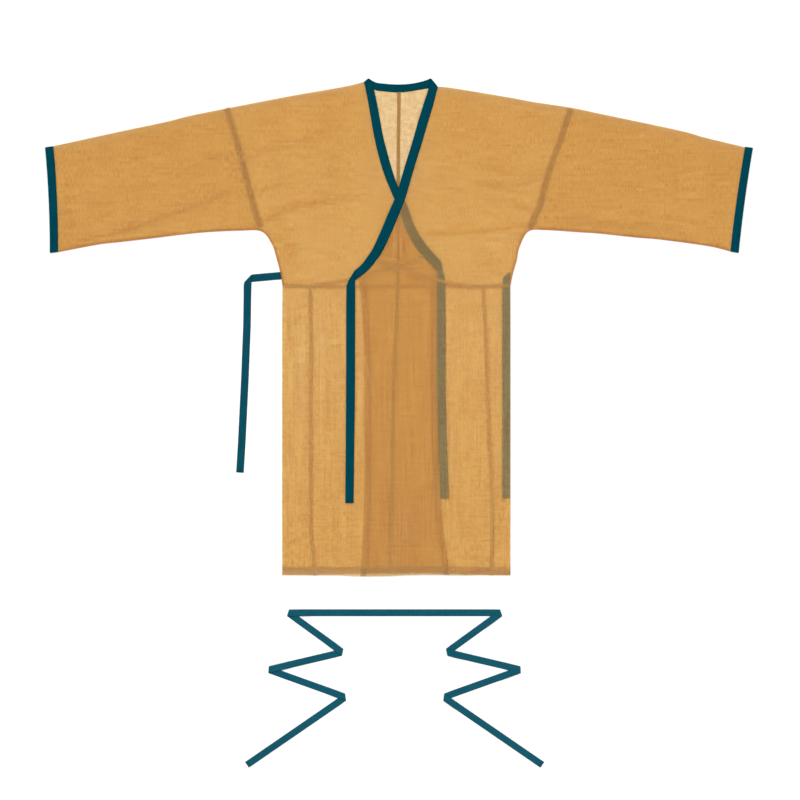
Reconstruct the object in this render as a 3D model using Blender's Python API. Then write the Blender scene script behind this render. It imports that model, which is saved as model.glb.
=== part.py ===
"""A sheer cross-collar robe laid flat on its back panels, with its ties spread and its loose belt.

x runs towards the wearer's left sleeve, y towards the collar and z up off the surface it lies on.
The origin is on that surface, under the middle of the robe and belt together. Plan sizes, heights
and walls are in millimetres, and Shell.build turns them into metres. The cloth lies in layers: the
back panels, the wearer's right front over them, and the wearer's left front over both.
"""
import math
from collections import Counter

import bmesh
import bpy

MM = 0.001

# Walls, and the clearance between pieces that touch
CLOTH = 1.0
BAND = 1.3
TIE = 1.0
TURN_UP = 0.4          # extra wall where a hem or a front edge is turned up
GAP = 0.3

# Heights of the undersides of what lies on the back panels
FRONT_REST = CLOTH + GAP
BAND_REST = BAND + GAP
OVER_INNER = BAND_REST + BAND + GAP       # the outer front, where the inner front and band are under it
OUTER_TIE_REST = FRONT_REST + CLOTH + GAP
LIFT = OVER_INNER - FRONT_REST
LIFT_HOLD = 30.0                          # the outer front stays up this far past the inner front
LIFT_RUN = 40.0                           # and then comes down over this distance

# Hem and front-edge turn-ups
WAIST_Y = 289.0
HEM_Y = -320.0
HEM_TOP = -301.0
EDGE_FOLD = 15.0
STEP = 1.5

# The middle of the whole layout, which becomes the origin
LAYOUT_MIDDLE = (1.0, 0.2)

# How finely the walls are divided
BODICE_ROWS = 10
SHARED_COLUMNS = 11
UNDERARM_COLUMNS = 5
BAND_STEPS = 2
SLEEVE_STATIONS = 12
SLEEVE_ROWS = 8
CUFF_ROWS = 4
SKIRT_ROWS = 12
SKIRT_BACK_COLUMNS = 8
SKIRT_WRAP_COLUMNS = 3
SKIRT_FRONT_COLUMNS = 10
FOLD_ANGLES = (-45.0, 0.0, 45.0)
SHARP_ANGLE = math.radians(50.0)

# The skirt's creases come in over this share of its length
CREASE_START = 1 / 3

# Outlines of each side, from the cuff inwards. "seam" and "corner" are point numbers: the sleeve
# seam, and the collar corner on the shoulder fold or the waist corner on the side.
SIDES = {
    "right": {
        "cuff": {"outer": ((-742, 579), (-732, 357)), "inner": ((-726, 581), (-715, 359))},
        "shoulder": [(-726, 581), (-606, 609), (-438, 645), (-361, 661), (-228, 687), (-119, 706),
                     (-73, 716)],
        "under": [(-715, 359), (-585, 382), (-417, 401), (-330, 406), (-288, 404),
                  (-264, 376), (-253, 344), (-248, 317), (-243, 289)],
        "shoulder_seam": 3,
        "under_seam": 4,
        "last_foot": -85,
    },
    "left": {
        "cuff": {"outer": ((744, 578), (714, 357)), "inner": ((729, 580), (698, 360))},
        "shoulder": [(729, 580), (591, 613), (423, 649), (362, 662), (234, 685), (117, 704), (83, 706)],
        "under": [(698, 360), (549, 386), (381, 401), (310, 407), (273, 404),
                  (254, 370), (248, 342), (240, 314), (234, 289)],
        "shoulder_seam": 3,
        "under_seam": 4,
        "last_foot": 74,
    },
}

# Waist seams as (x, y)
BACK_WAIST = [(-243, 289), (-180, 286.5), (-110, 286), (87, 286), (160, 284), (234, 289)]
INNER_WAIST = [(-243, 289), (-190, 287), (-109, 300), (-56, 315), (5, 332), (54, 347)]
OUTER_WAIST = [(-48, 340), (5, 322), (60, 307), (115, 295), (170, 288), (234, 289)]

# Down the skirt as (y, x)
CENTRE_BACK = [(716, 1), (494, -1), (307, -1), (90, -9), (-50, -12), (-218, -16), (-320, -19)]
SIDE_RIGHT = [(289, -243), (200, -243.5), (-320, -243.5)]
SIDE_LEFT = [(289, 234), (200, 234), (-320, 234)]
SKIRT_SEAM_RIGHT = [(289, -184), (174, -182), (-227, -182), (-277, -177), (-320, -174)]
SKIRT_SEAM_LEFT = [(289, 177), (185, 183), (-23, 190), (-107, 195), (-248, 197), (-320, 193)]
INNER_EDGE = [(350, 81), (300, 80.5), (174, 79.5), (48, 80), (-57, 83), (-158, 86.5), (-233, 95), (-320, 107)]
OUTER_EDGE = [(350, -90), (300, -90), (286, -80), (225, -75), (132, -71), (-134, -71), (-275, -75),
              (-320, -81)]

# How far right the inner front, its band and its tie reach, as (y, x)
INNER_REACH = [(724, -54), (601, -30), (527, -9), (491, 3), (455, 19), (420, 31), (390, 47), (360, 70),
               (340, 89), (300, 100), (100, 100), (-57, 102), (-159, 106), (-233, 98), (-320, 108)]

# Collar bands, a row for each section: seam edge x, y and free edge x, y
INNER_BAND = [
    (81, 319, 89, 340), (54, 347, 70, 360), (30, 378, 47, 390), (13, 412, 31, 420), (0, 449, 19, 455),
    (-14, 485, 3, 491), (-28, 521, -9, 527), (-40, 559, -20, 565), (-49, 596, -30, 601),
    (-56, 634, -38, 638), (-63, 672, -46, 675), (-70, 705, -54, 708), (-73, 716, -63, 724),
]
BACK_BAND = [
    (-73, 716, -63, 724), (-51, 701, -48, 714), (-27, 697, -27, 711), (-1, 696, -1, 710),
    (25, 698, 25, 712), (51, 703, 51, 718), (83, 706, 68, 724),
]
OUTER_BAND = [
    (83, 706, 68, 724), (78, 692, 62, 697), (71, 666, 54, 671), (59, 627, 42, 632), (48, 589, 31, 594),
    (36, 548, 19, 554), (25, 510, 7, 516), (13, 471, -5, 478), (-2, 433, -21, 441), (-18, 395, -37, 403),
    (-36, 358, -53, 368), (-48, 340, -63, 352), (-65, 320, -77, 333), (-91, 300, -93, 319),
]
INNER_TIP = 1           # the section where the waist seam meets the band
OUTER_TIP = 11
CORNER_INSET = 0.8      # keeps the folded band clear of the shoulder fold beside it

# Ties, a row for each section: left edge x, y and right edge x, y
TIE_OUTER = [
    (-93.4, 318.6, -91.4, 299.6), (-98, 311, -91.3, 296), (-105, 299, -91.2, 290), (-109, 288, -91, 285),
    (-109.5, 262, -91, 262), (-110, 60, -91.6, 60), (-111.5, -168, -94.5, -168),
]
TIE_INNER = [
    (81.9, 318.2, 89.9, 339.2), (82, 311, 93.5, 327), (81.8, 300, 97.5, 309), (81.4, 288, 99.3, 290),
    (80.6, 174, 99.2, 174), (81, 48, 99.4, 48), (84, -57, 102.4, -57), (87.6, -159, 106, -159),
]
TIE_SIDE_LEFT = [
    (219, 306, 231.5, 316), (217.5, 286, 231.5, 286), (216, 262, 231.5, 262), (216.5, 48, 231.5, 48),
    (216, -158, 231.2, -158),
]
SIDE_TIE_WIDTH = 15.0
SIDE_TIE_RIGHT = [(-248.2, 309), (-315, 303), (-319, 181), (-323, 76), (-332, -102)]
SIDE_TIE_ROOM = {"left": 180.0, "full": 205.0, "top": 345.0, "bottom": -185.0, "run": 45.0}

# Belt, folded on itself at each corner: the right half mirrors the left about BELT_MIDDLE
BELT_WIDTH = 14.0
BELT_MIDDLE = -8.2
BELT_HALF = [(-318.2, -717.8), (-111.3, -575.6), (-272.8, -517.9), (-117.4, -482.0), (-232.0, -399.4)]

# Where a strip turns over: it goes level this far before the fold, lies on itself until it is this
# far clear, and then comes down to the surface over this length
FOLD_SHORT = 3.0
FOLD_CLEAR = 2.0
FOLD_RUN = 25.0

# Soft creases of the front layers: start x, y, end x, y, half width, height
CREASES = {
    "right_sleeve": [(-652, 393, -436, 466, 26, 1.8), (-600, 560, -470, 575, 30, 1.0)],
    "left_sleeve": [(320, 428, 507, 424, 24, 1.5), (420, 600, 600, 560, 32, 1.0)],
    "right_body": [(-270, 430, -150, 468, 22, 1.8), (-300, 575, -215, 604, 26, 1.2),
                   (-310, 509, -235, 516, 24, 1.0), (-215, 160, -205, -60, 20, 0.9),
                   (-150, 120, -140, -190, 22, 1.0)],
    "left_body": [(165, 546, 290, 514, 24, 1.4), (165, 502, 245, 512, 20, 1.0),
                  (100, 402, 262, 412, 20, 1.6), (135, 190, 150, -150, 24, 1.0),
                  (20, 150, 10, -120, 26, 0.8)],
}

COLOURS = {
    "ochre": ((0.52, 0.28, 0.09, 1.0), 0.85),
    "teal": ((0.003, 0.055, 0.085, 1.0), 0.8),
}


def clear_scene():
    for item in list(bpy.data.objects):
        bpy.data.objects.remove(item, do_unlink=True)


def make_material(name):
    colour, roughness = COLOURS[name]
    material = bpy.data.materials.new(name)
    material.use_nodes = True
    shader = material.node_tree.nodes["Principled BSDF"]
    shader.inputs["Base Color"].default_value = colour
    shader.inputs["Roughness"].default_value = roughness
    shader.inputs["Metallic"].default_value = 0.0
    return material


# Plan geometry -----------------------------------------------------------------------------------

def mix(a, b, share):
    return tuple(p + (q - p) * share for p, q in zip(a, b))


def offset(point, direction, distance):
    return (point[0] + direction[0] * distance, point[1] + direction[1] * distance)


def unit(x, y):
    length = math.hypot(x, y)
    return (x / length, y / length)


def smooth(share):
    share = min(1.0, max(0.0, share))
    return share * share * (3.0 - 2.0 * share)


def spline(before, start, end, after, share):
    """One point of the Catmull-Rom curve from start to end."""
    a, b = share * share, share ** 3
    return tuple(
        0.5 * (2 * q + (r - p) * share + (2 * p - 5 * q + 4 * r - s) * a + (3 * q - p - 3 * r + s) * b)
        for p, q, r, s in zip(before, start, end, after)
    )


def smooth_rows(rows, steps):
    """The rows of a table, with steps - 1 smooth rows put in between each two."""
    out = []
    last = len(rows) - 1
    for number in range(last):
        around = [rows[max(number - 1, 0)], rows[number], rows[number + 1], rows[min(number + 2, last)]]
        out += [spline(*around, step / steps) for step in range(steps)]
    return out + [tuple(float(value) for value in rows[-1])]


def read(table, key):
    """The value of a two-column table at key, smooth between its rows."""
    rows = sorted(table)
    if key <= rows[0][0]:
        return rows[0][1]
    if key >= rows[-1][0]:
        return rows[-1][1]
    index = max(i for i in range(len(rows) - 1) if rows[i][0] <= key)
    slopes = []
    for i in (index, index + 1):
        low, high = max(i - 1, 0), min(i + 1, len(rows) - 1)
        slopes.append((rows[high][1] - rows[low][1]) / (rows[high][0] - rows[low][0]))
    (x0, y0), (x1, y1) = rows[index], rows[index + 1]
    span = x1 - x0
    t = (key - x0) / span
    return ((2 * t ** 3 - 3 * t ** 2 + 1) * y0 + (t ** 3 - 2 * t ** 2 + t) * span * slopes[0]
            + (3 * t ** 2 - 2 * t ** 3) * y1 + (t ** 3 - t ** 2) * span * slopes[1])


class Edge:
    """A smooth edge in plan. It is read between two of its own points, in even lengths."""

    STEPS = 24

    def __init__(self, points, outward_left):
        self.points = smooth_rows(points, self.STEPS)
        self.turn = 1.0 if outward_left else -1.0

    def outward(self, index):
        low, high = max(index - 1, 0), min(index + 1, len(self.points) - 1)
        (x0, y0), (x1, y1) = self.points[low], self.points[high]
        along = unit(x1 - x0, y1 - y0)
        return (-along[1] * self.turn, along[0] * self.turn)

    def divide(self, first, last, count):
        """count + 1 pairs of point and outward direction, from point number first to last."""
        low, high = first * self.STEPS, last * self.STEPS
        lengths = [0.0]
        for i in range(low, high):
            lengths.append(lengths[-1] + math.dist(self.points[i], self.points[i + 1]))
        out = []
        for number in range(count + 1):
            target = lengths[-1] * number / count
            i = max(k for k in range(high - low) if lengths[k] <= target + 1e-9)
            share = (target - lengths[i]) / (lengths[i + 1] - lengths[i])
            point = mix(self.points[low + i], self.points[low + i + 1], share)
            near = low + i + (1 if share > 0.5 else 0)
            out.append((point, self.outward(near)))
        return out


def crease_height(creases, x, y):
    """How far the creases of one list lift the cloth at a point."""
    height = 0.0
    for x0, y0, x1, y1, width, rise in creases:
        run_x, run_y = x1 - x0, y1 - y0
        share = ((x - x0) * run_x + (y - y0) * run_y) / (run_x * run_x + run_y * run_y)
        clamped = min(1.0, max(0.0, share))
        away = math.hypot(x - x0 - run_x * clamped, y - y0 - run_y * clamped) / width
        height += rise * math.exp(-away * away)
    return height


# Heights of the layers ---------------------------------------------------------------------------

def in_hem(y):
    return 1.0 if y < HEM_TOP + STEP / 2 else 0.0


def outer_share(x, y):
    """1 where the inner front, its band or its tie is under the outer front, and 0 well past them."""
    return smooth((LIFT_HOLD + LIFT_RUN - (x - read(INNER_REACH, y))) / LIFT_RUN)


def side_tie_share(x, y):
    room = SIDE_TIE_ROOM
    across = smooth((x - room["left"]) / (room["full"] - room["left"]))
    below = smooth((room["top"] + room["run"] - y) / room["run"])
    above = smooth((y - room["bottom"] + room["run"]) / room["run"])
    return across * below * above


def inner_rest(x, y):
    """Height of the underside of the wearer's right front."""
    return FRONT_REST + TURN_UP * in_hem(y)


def outer_rest(x, y):
    """Height of the underside of the wearer's left front."""
    over = outer_share(x, y)
    raised = max(LIFT * over, (TIE + GAP) * side_tie_share(x, y))
    return FRONT_REST + raised + TURN_UP * in_hem(y) * (1.0 + over)


REST = {"right": inner_rest, "left": outer_rest}


# Walls -------------------------------------------------------------------------------------------

class Shell:
    """A wall made of pairs of points: one on its outer skin and one on its inner skin."""

    def __init__(self):
        self.outer = []
        self.inner = []
        self.triangles = []

    def row(self, pairs):
        start = len(self.outer)
        for outer, inner in pairs:
            self.outer.append(outer)
            self.inner.append(inner)
        return list(range(start, len(self.outer)))

    def join(self, row_a, row_b):
        for i in range(len(row_a) - 1):
            self.quad(row_a[i], row_a[i + 1], row_b[i + 1], row_b[i])

    def quad(self, a, b, c, d):
        for triangle in ((a, b, c), (a, c, d)):
            if len(set(triangle)) == 3:
                self.triangles.append(triangle)

    def build(self, name, material):
        """Closes the two skins along every free edge and makes the object, in metres."""
        count = len(self.outer)
        edges = Counter()
        for a, b, c in self.triangles:
            edges.update(((a, b), (b, c), (c, a)))
        faces = list(self.triangles)
        faces += [(c + count, b + count, a + count) for a, b, c in self.triangles]
        for a, b in edges:
            if (b, a) not in edges:
                faces += [(b, a, a + count), (b, a + count, b + count)]
        mesh = bpy.data.meshes.new(name)
        shift = (*LAYOUT_MIDDLE, 0.0)
        points = [[(value - middle) * MM for value, middle in zip(point, shift)]
                  for point in self.outer + self.inner]
        mesh.from_pydata(points, [], faces)
        body = bmesh.new()
        body.from_mesh(mesh)
        loose = [vertex for vertex in body.verts if not vertex.link_faces]
        bmesh.ops.delete(body, geom=loose, context="VERTS")
        if body.calc_volume(signed=True) < 0.0:
            bmesh.ops.reverse_faces(body, faces=body.faces)
        body.to_mesh(mesh)
        body.free()
        mesh.shade_smooth()
        mesh.set_sharp_from_angle(angle=SHARP_ANGLE)
        mesh.materials.append(material)
        item = bpy.data.objects.new(name, mesh)
        bpy.context.scene.collection.objects.link(item)
        return item


def back_pair(point, wall=CLOTH):
    return ((point[0], point[1], 0.0), (point[0], point[1], wall + TURN_UP * in_hem(point[1])))


def front_pair(point, rest, wall=CLOTH, rise=0.0):
    low = rest + rise
    return ((point[0], point[1], low + wall), (point[0], point[1], low))


def fold_radius(rest, wall):
    return (rest + wall) / 2.0


def fold_pairs(centre, out, rest, wall, upwards=True):
    """The points of a fold between the back layer and a front layer that rests at rest."""
    outer_r, inner_r = fold_radius(rest, wall), (rest - wall) / 2.0
    angles = FOLD_ANGLES if upwards else FOLD_ANGLES[::-1]
    pairs = []
    for angle in angles:
        across, up = math.cos(math.radians(angle)), math.sin(math.radians(angle))
        outer = offset(centre, out, outer_r * across) + (outer_r * (1.0 + up),)
        inner = offset(centre, out, inner_r * across) + ((rest + wall) / 2.0 + inner_r * up,)
        pairs.append((outer, inner))
    return pairs


def tube_row(shell, head, foot, rest, wall, creases, rows):
    """A ring round a flat tube, closed at both its folded edges."""
    (head_point, head_out), (foot_point, foot_out) = head, foot
    radius = fold_radius(rest, wall)
    top, low = offset(head_point, head_out, -radius), offset(foot_point, foot_out, -radius)
    line = [mix(low, top, i / rows) for i in range(rows + 1)]
    fronts = []
    for number, point in enumerate(reversed(line)):
        fade = math.sin(math.pi * number / rows)
        fronts.append(front_pair(point, rest, wall, crease_height(creases, *point) * fade))
    pairs = [back_pair(point, wall) for point in line] + fold_pairs(top, head_out, rest, wall)
    pairs += fronts + fold_pairs(low, foot_out, rest, wall, upwards=False)
    ring = shell.row(pairs)
    return ring + ring[:1]


# Pieces ------------------------------------------------------------------------------------------

def shifted(station, neighbour, distance):
    """A station moved along its edge, towards its neighbour if distance is above zero."""
    point, out = station
    along = unit(neighbour[0][0] - point[0], neighbour[0][1] - point[1])
    return (offset(point, along, distance), out)


def side_edges(side):
    data = SIDES[side]
    right = side == "right"
    return Edge(data["shoulder"], outward_left=right), Edge(data["under"], outward_left=not right)


def sleeve(side, material):
    """A flat tube from the cuff band to the seam on the upper arm, folded along its top edge."""
    data = SIDES[side]
    shoulder, under = side_edges(side)
    heads = shoulder.divide(0, data["shoulder_seam"], SLEEVE_STATIONS)
    feet = under.divide(0, data["under_seam"], SLEEVE_STATIONS)
    for line in (heads, feet):
        line[0] = shifted(line[0], line[1], GAP / 2)
        line[-1] = shifted(line[-1], line[-2], GAP / 2)
    shell = Shell()
    creases = CREASES[side + "_sleeve"]
    rings = [tube_row(shell, head, foot, FRONT_REST, CLOTH, creases, SLEEVE_ROWS)
             for head, foot in zip(heads, feet)]
    for ring, following in zip(rings, rings[1:]):
        shell.join(ring, following)
    return shell.build("sleeve_" + side, material)


def cuff_band(side, material):
    """The binding round the sleeve opening, a short flat tube with a thicker wall."""
    data = SIDES[side]["cuff"]
    along = unit(data["inner"][0][0] - data["outer"][0][0], data["inner"][0][1] - data["outer"][0][1])
    down = unit(data["outer"][1][0] - data["outer"][0][0], data["outer"][1][1] - data["outer"][0][1])
    up = (-down[0], -down[1])
    shell = Shell()
    rings = []
    for end, share in (("outer", 0.0), ("inner", -GAP / 2)):
        head, foot = data[end]
        head, foot = offset(head, along, share), offset(foot, along, share)
        rings.append(tube_row(shell, (head, up), (foot, down), BAND_REST, BAND, (), CUFF_ROWS))
    shell.join(rings[0], rings[1])
    return shell.build("cuff_binding_" + side, material)


def neck_heads(rows):
    """Points of a band's seam edge that its panel is sewn to, and the directions towards the band."""
    return [((seam_x, seam_y), unit(free_x - seam_x, free_y - seam_y))
            for seam_x, seam_y, free_x, free_y in rows]


def bodice(side, material):
    """Half the back and one front in one piece, folded at the shoulder and sewn up the side."""
    data = SIDES[side]
    rest = REST[side]
    creases = CREASES[side + "_body"]
    shoulder, under = side_edges(side)
    waist_front = INNER_WAIST if side == "right" else OUTER_WAIST
    seam, corner = data["shoulder_seam"], len(data["shoulder"]) - 1
    heads = shoulder.divide(seam, corner, SHARED_COLUMNS)
    feet = under.divide(data["under_seam"], len(data["under"]) - 1, UNDERARM_COLUMNS)
    heads[0] = shifted(heads[0], heads[1], GAP / 2)
    heads[-1] = shifted(heads[-1], heads[-2], GAP / 2)
    feet[0] = shifted(feet[0], feet[1], GAP / 2)
    feet[-1] = shifted(feet[-1], feet[-2], GAP / 2)
    shell = Shell()

    def level(point, fade):
        return front_pair(point, rest(*point), CLOTH, crease_height(creases, *point) * fade)

    def back_line(low, top):
        return [back_pair(mix(low, top, i / BODICE_ROWS)) for i in range(BODICE_ROWS + 1)]

    def front_line(top, low):
        return [level(mix(top, low, i / BODICE_ROWS), math.sin(math.pi * i / BODICE_ROWS))
                for i in range(BODICE_ROWS + 1)]

    columns = []
    corner_x, last_x = data["under"][-1][0], data["last_foot"]
    for number, (head, head_out) in enumerate(heads):
        folded = number <= UNDERARM_COLUMNS
        head_rest = rest(*head)
        top = offset(head, head_out, -fold_radius(head_rest, CLOTH))
        if folded:
            foot, foot_out = feet[number]
            foot_rest = rest(*foot)
            low_back = low_front = offset(foot, foot_out, -fold_radius(foot_rest, CLOTH))
        else:
            share = (number - UNDERARM_COLUMNS) / (SHARED_COLUMNS - UNDERARM_COLUMNS)
            x = corner_x + (last_x - corner_x) * share
            low_back = (x, read(BACK_WAIST, x) + GAP / 2)
            low_front = (x, read(waist_front, x) + GAP / 2)
        pairs = back_line(low_back, top) + fold_pairs(top, head_out, head_rest, CLOTH)
        pairs += front_line(top, low_front)
        if folded:
            pairs += fold_pairs(low_front, foot_out, foot_rest, CLOTH, upwards=False)
        indices = shell.row(pairs)
        columns.append(indices + indices[:1] if folded else indices)
    for column, following in zip(columns, columns[1:]):
        both = min(len(column), len(following))
        shell.join(column[:both], following[:both])

    # Across the back, from under the collar corner to the centre-back seam
    inward = 1.0 if side == "right" else -1.0
    neck = smooth_rows(BACK_BAND, BAND_STEPS)
    middle = (len(neck) - 1) // 2
    part = neck[1:middle + 1] if side == "right" else neck[middle:-1][::-1]
    previous = columns[-1][:BODICE_ROWS + 1]
    for number, (head, out) in enumerate(neck_heads(part), start=1):
        share = number / len(part)
        foot_x = last_x + (read(CENTRE_BACK, WAIST_Y) - last_x) * share
        at_centre = GAP / 2 * inward * (number == len(part))
        top = offset(head, out, -GAP / 2)
        low = (foot_x - at_centre, read(BACK_WAIST, foot_x) + GAP / 2)
        column = shell.row(back_line(low, (top[0] - at_centre, top[1])))
        shell.join(previous, column)
        previous = column

    # Across the front, from the collar corner down along the band to the waist
    if side == "right":
        band = smooth_rows(INNER_BAND, BAND_STEPS)[INNER_TIP * BAND_STEPS:-1][::-1]
    else:
        band = smooth_rows(OUTER_BAND, BAND_STEPS)[1:OUTER_TIP * BAND_STEPS + 1]
    tip_x = band[-1][0]
    start = BODICE_ROWS + 1 + len(FOLD_ANGLES)
    previous = columns[-1][start:start + BODICE_ROWS + 1]
    for number, (head, out) in enumerate(neck_heads(band), start=1):
        top = offset(head, out, -GAP / 2)
        if number == len(band):
            top = (top[0] - inward * STEP, top[1])
            tip = shell.row([level(top, 0.0)])
            column = tip * (BODICE_ROWS + 1)
        else:
            x = last_x + (tip_x - last_x) * number / len(band)
            column = shell.row(front_line(top, (x, read(waist_front, x) + GAP / 2)))
        shell.join(previous, column)
        previous = column
    return shell.build("bodice_" + side, material)


def skirt_levels():
    """Levels from 0 at the waist to 1 just above the hem, 2 at the top of its turn-up and 3 at its foot."""
    return [i / SKIRT_ROWS for i in range(SKIRT_ROWS)] + [1.0, 2.0, 3.0]


def level_y(top, level):
    """How far down one level is on a line of the skirt that starts at top."""
    marks = (top, HEM_TOP + STEP, HEM_TOP, HEM_Y)
    start = min(int(level), 2)
    return marks[start] + (marks[start + 1] - marks[start]) * (level - start)


def skirt_back(side, material):
    """Half the back of the skirt, wrapped round the side to the seam on the front."""
    right = side == "right"
    inward = 1.0 if right else -1.0
    edge, seam = (SIDE_RIGHT, SKIRT_SEAM_RIGHT) if right else (SIDE_LEFT, SKIRT_SEAM_LEFT)
    waist_front = INNER_WAIST if right else OUTER_WAIST
    rest = REST[side]
    shell = Shell()
    rows = []
    for level in skirt_levels():
        fold_y = level_y(WAIST_Y, level)
        wall = CLOTH + TURN_UP * in_hem(fold_y)
        side_rest = rest(read(edge, fold_y), fold_y)
        radius = fold_radius(side_rest, wall)

        def back_x(y, across):
            centre = read(CENTRE_BACK, y) - inward * GAP / 2
            return centre + (read(edge, y) + inward * radius - centre) * across

        def front_x(y, across):
            side_x = read(edge, y) + inward * radius
            return side_x + (read(seam, y) - inward * GAP / 2 - side_x) * across

        backs, fronts = [], []
        for column in range(SKIRT_BACK_COLUMNS + 1):
            across = column / SKIRT_BACK_COLUMNS
            y = level_y(read(BACK_WAIST, back_x(WAIST_Y, across)) - GAP / 2, level)
            backs.append((back_x(y, across), y))
        for column in range(SKIRT_WRAP_COLUMNS + 1):
            across = column / SKIRT_WRAP_COLUMNS
            waist = waist_front if column else BACK_WAIST
            y = level_y(read(waist, front_x(WAIST_Y, across)) - GAP / 2, level)
            fronts.append((front_x(y, across), y))
        pairs = [back_pair(point) for point in backs]
        pairs += fold_pairs(backs[-1], (-inward, 0.0), side_rest, wall)
        pairs += [front_pair(point, rest(*point), wall) for point in fronts]
        rows.append(shell.row(pairs))
    for row, following in zip(rows, rows[1:]):
        shell.join(row, following)
    return shell.build("skirt_back_" + side, material)


def skirt_tops(side):
    """The top of a skirt front from its side seam to its free edge: along the waist, then the band."""
    inward = 1.0 if side == "right" else -1.0
    if side == "right":
        waist, seam_x = INNER_WAIST, read(SKIRT_SEAM_RIGHT, WAIST_Y)
        band = smooth_rows(INNER_BAND, BAND_STEPS)[:INNER_TIP * BAND_STEPS + 1][::-1]
    else:
        waist, seam_x = OUTER_WAIST, read(SKIRT_SEAM_LEFT, WAIST_Y)
        band = smooth_rows(OUTER_BAND, BAND_STEPS)[OUTER_TIP * BAND_STEPS:]
    tip_x = band[0][0]
    tops = []
    for column in range(SKIRT_FRONT_COLUMNS):
        x = seam_x + (tip_x - seam_x) * column / SKIRT_FRONT_COLUMNS
        tops.append((x, read(waist, x)))
    tops += [(row[0], row[1]) for row in band]
    free_x = tops[-1][0]
    for inset in (EDGE_FOLD + STEP, EDGE_FOLD):
        x = free_x - inward * inset
        after = next(i for i, top in enumerate(tops) if (top[0] - x) * inward > 0.0)
        (x0, y0), (x1, y1) = tops[after - 1], tops[after]
        tops.insert(after, (x, y0 + (y1 - y0) * (x - x0) / (x1 - x0)))
    return tops


def skirt_front(side, material):
    """One front of the skirt, from its side seam to its free edge, which is turned under."""
    inward = 1.0 if side == "right" else -1.0
    rest = REST[side]
    creases = CREASES[side + "_body"]
    seam, edge = (SKIRT_SEAM_RIGHT, INNER_EDGE) if side == "right" else (SKIRT_SEAM_LEFT, OUTER_EDGE)
    tops = skirt_tops(side)
    seam_x, free_x = tops[0][0], tops[-1][0]
    shell = Shell()
    rows = []
    for level in skirt_levels():
        pairs = []
        for number, (top_x, top_y) in enumerate(tops):
            across = (top_x - seam_x) / (free_x - seam_x)
            clear = inward * GAP / 2 if number == 0 else 0.0
            y = level_y(top_y - GAP / 2, level)
            point = (read(seam, y) + (read(edge, y) - read(seam, y)) * across + clear, y)
            turned = in_hem(y) or abs(top_x - free_x) < EDGE_FOLD + STEP / 2
            fade = math.sin(math.pi * across) * smooth(level / CREASE_START) * (level < 1.0)
            rise = crease_height(creases, *point) * fade
            pairs.append(front_pair(point, rest(*point), CLOTH + TURN_UP * turned, rise))
        rows.append(shell.row(pairs))
    for row, following in zip(rows, rows[1:]):
        shell.join(row, following)
    return shell.build("skirt_front_" + side, material)


def collar(material):
    """One band from the inner front, over the back of the neck, to the outer front."""
    shell = Shell()
    rows = []

    def edges(row):
        seam, free = (row[0], row[1]), (row[2], row[3])
        return offset(seam, unit(free[0] - seam[0], free[1] - seam[1]), GAP / 2), free

    def fold(row):
        """The two ends of a shoulder fold's centre line, and its outward direction."""
        seam, free = (row[0], row[1]), (row[2], row[3])
        along = unit(free[0] - seam[0], free[1] - seam[1])
        out = (-along[1], along[0]) if along[0] > 0 else (along[1], -along[0])
        radius = fold_radius(BAND_REST, BAND)
        seam = offset(seam, along, CORNER_INSET)
        return offset(seam, out, -radius), offset(free, out, -radius), out

    def fronts(table, rest_at):
        for row in table:
            seam, free = edges(row)
            rows.append(shell.row([front_pair(end, rest_at(*end), BAND) for end in (seam, free)]))

    def folded(row, upwards):
        seam, free, out = fold(row)
        ends = [fold_pairs(end, out, BAND_REST, BAND, upwards) for end in (seam, free)]
        back = [back_pair(end, BAND) for end in (seam, free)]
        front = [front_pair(end, BAND_REST, BAND) for end in (seam, free)]
        first, last = (back, front) if upwards else (front, back)
        for pairs in (first, *zip(*ends), last):
            rows.append(shell.row(pairs))

    def outer_level(x, y):
        return max(BAND_REST, outer_rest(x, y))

    def inner_level(x, y):
        return BAND_REST

    fronts(smooth_rows(INNER_BAND, BAND_STEPS)[:-1], inner_level)
    folded(INNER_BAND[-1], upwards=False)
    for row in smooth_rows(BACK_BAND, BAND_STEPS)[1:-1]:
        rows.append(shell.row([back_pair(end, BAND) for end in edges(row)]))
    folded(OUTER_BAND[0], upwards=True)
    fronts(smooth_rows(OUTER_BAND, BAND_STEPS)[1:], outer_level)
    for row, following in zip(rows, rows[1:]):
        shell.join(row, following)
    return shell.build("collar_binding", material)


def flat_tie(name, table, rest, material):
    """A tie that lies flat on the layer under it."""
    shell = Shell()
    rows = [shell.row([front_pair(row[:2], rest, TIE), front_pair(row[2:], rest, TIE)])
            for row in table]
    for row, following in zip(rows, rows[1:]):
        shell.join(row, following)
    return shell.build(name, material)


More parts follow.
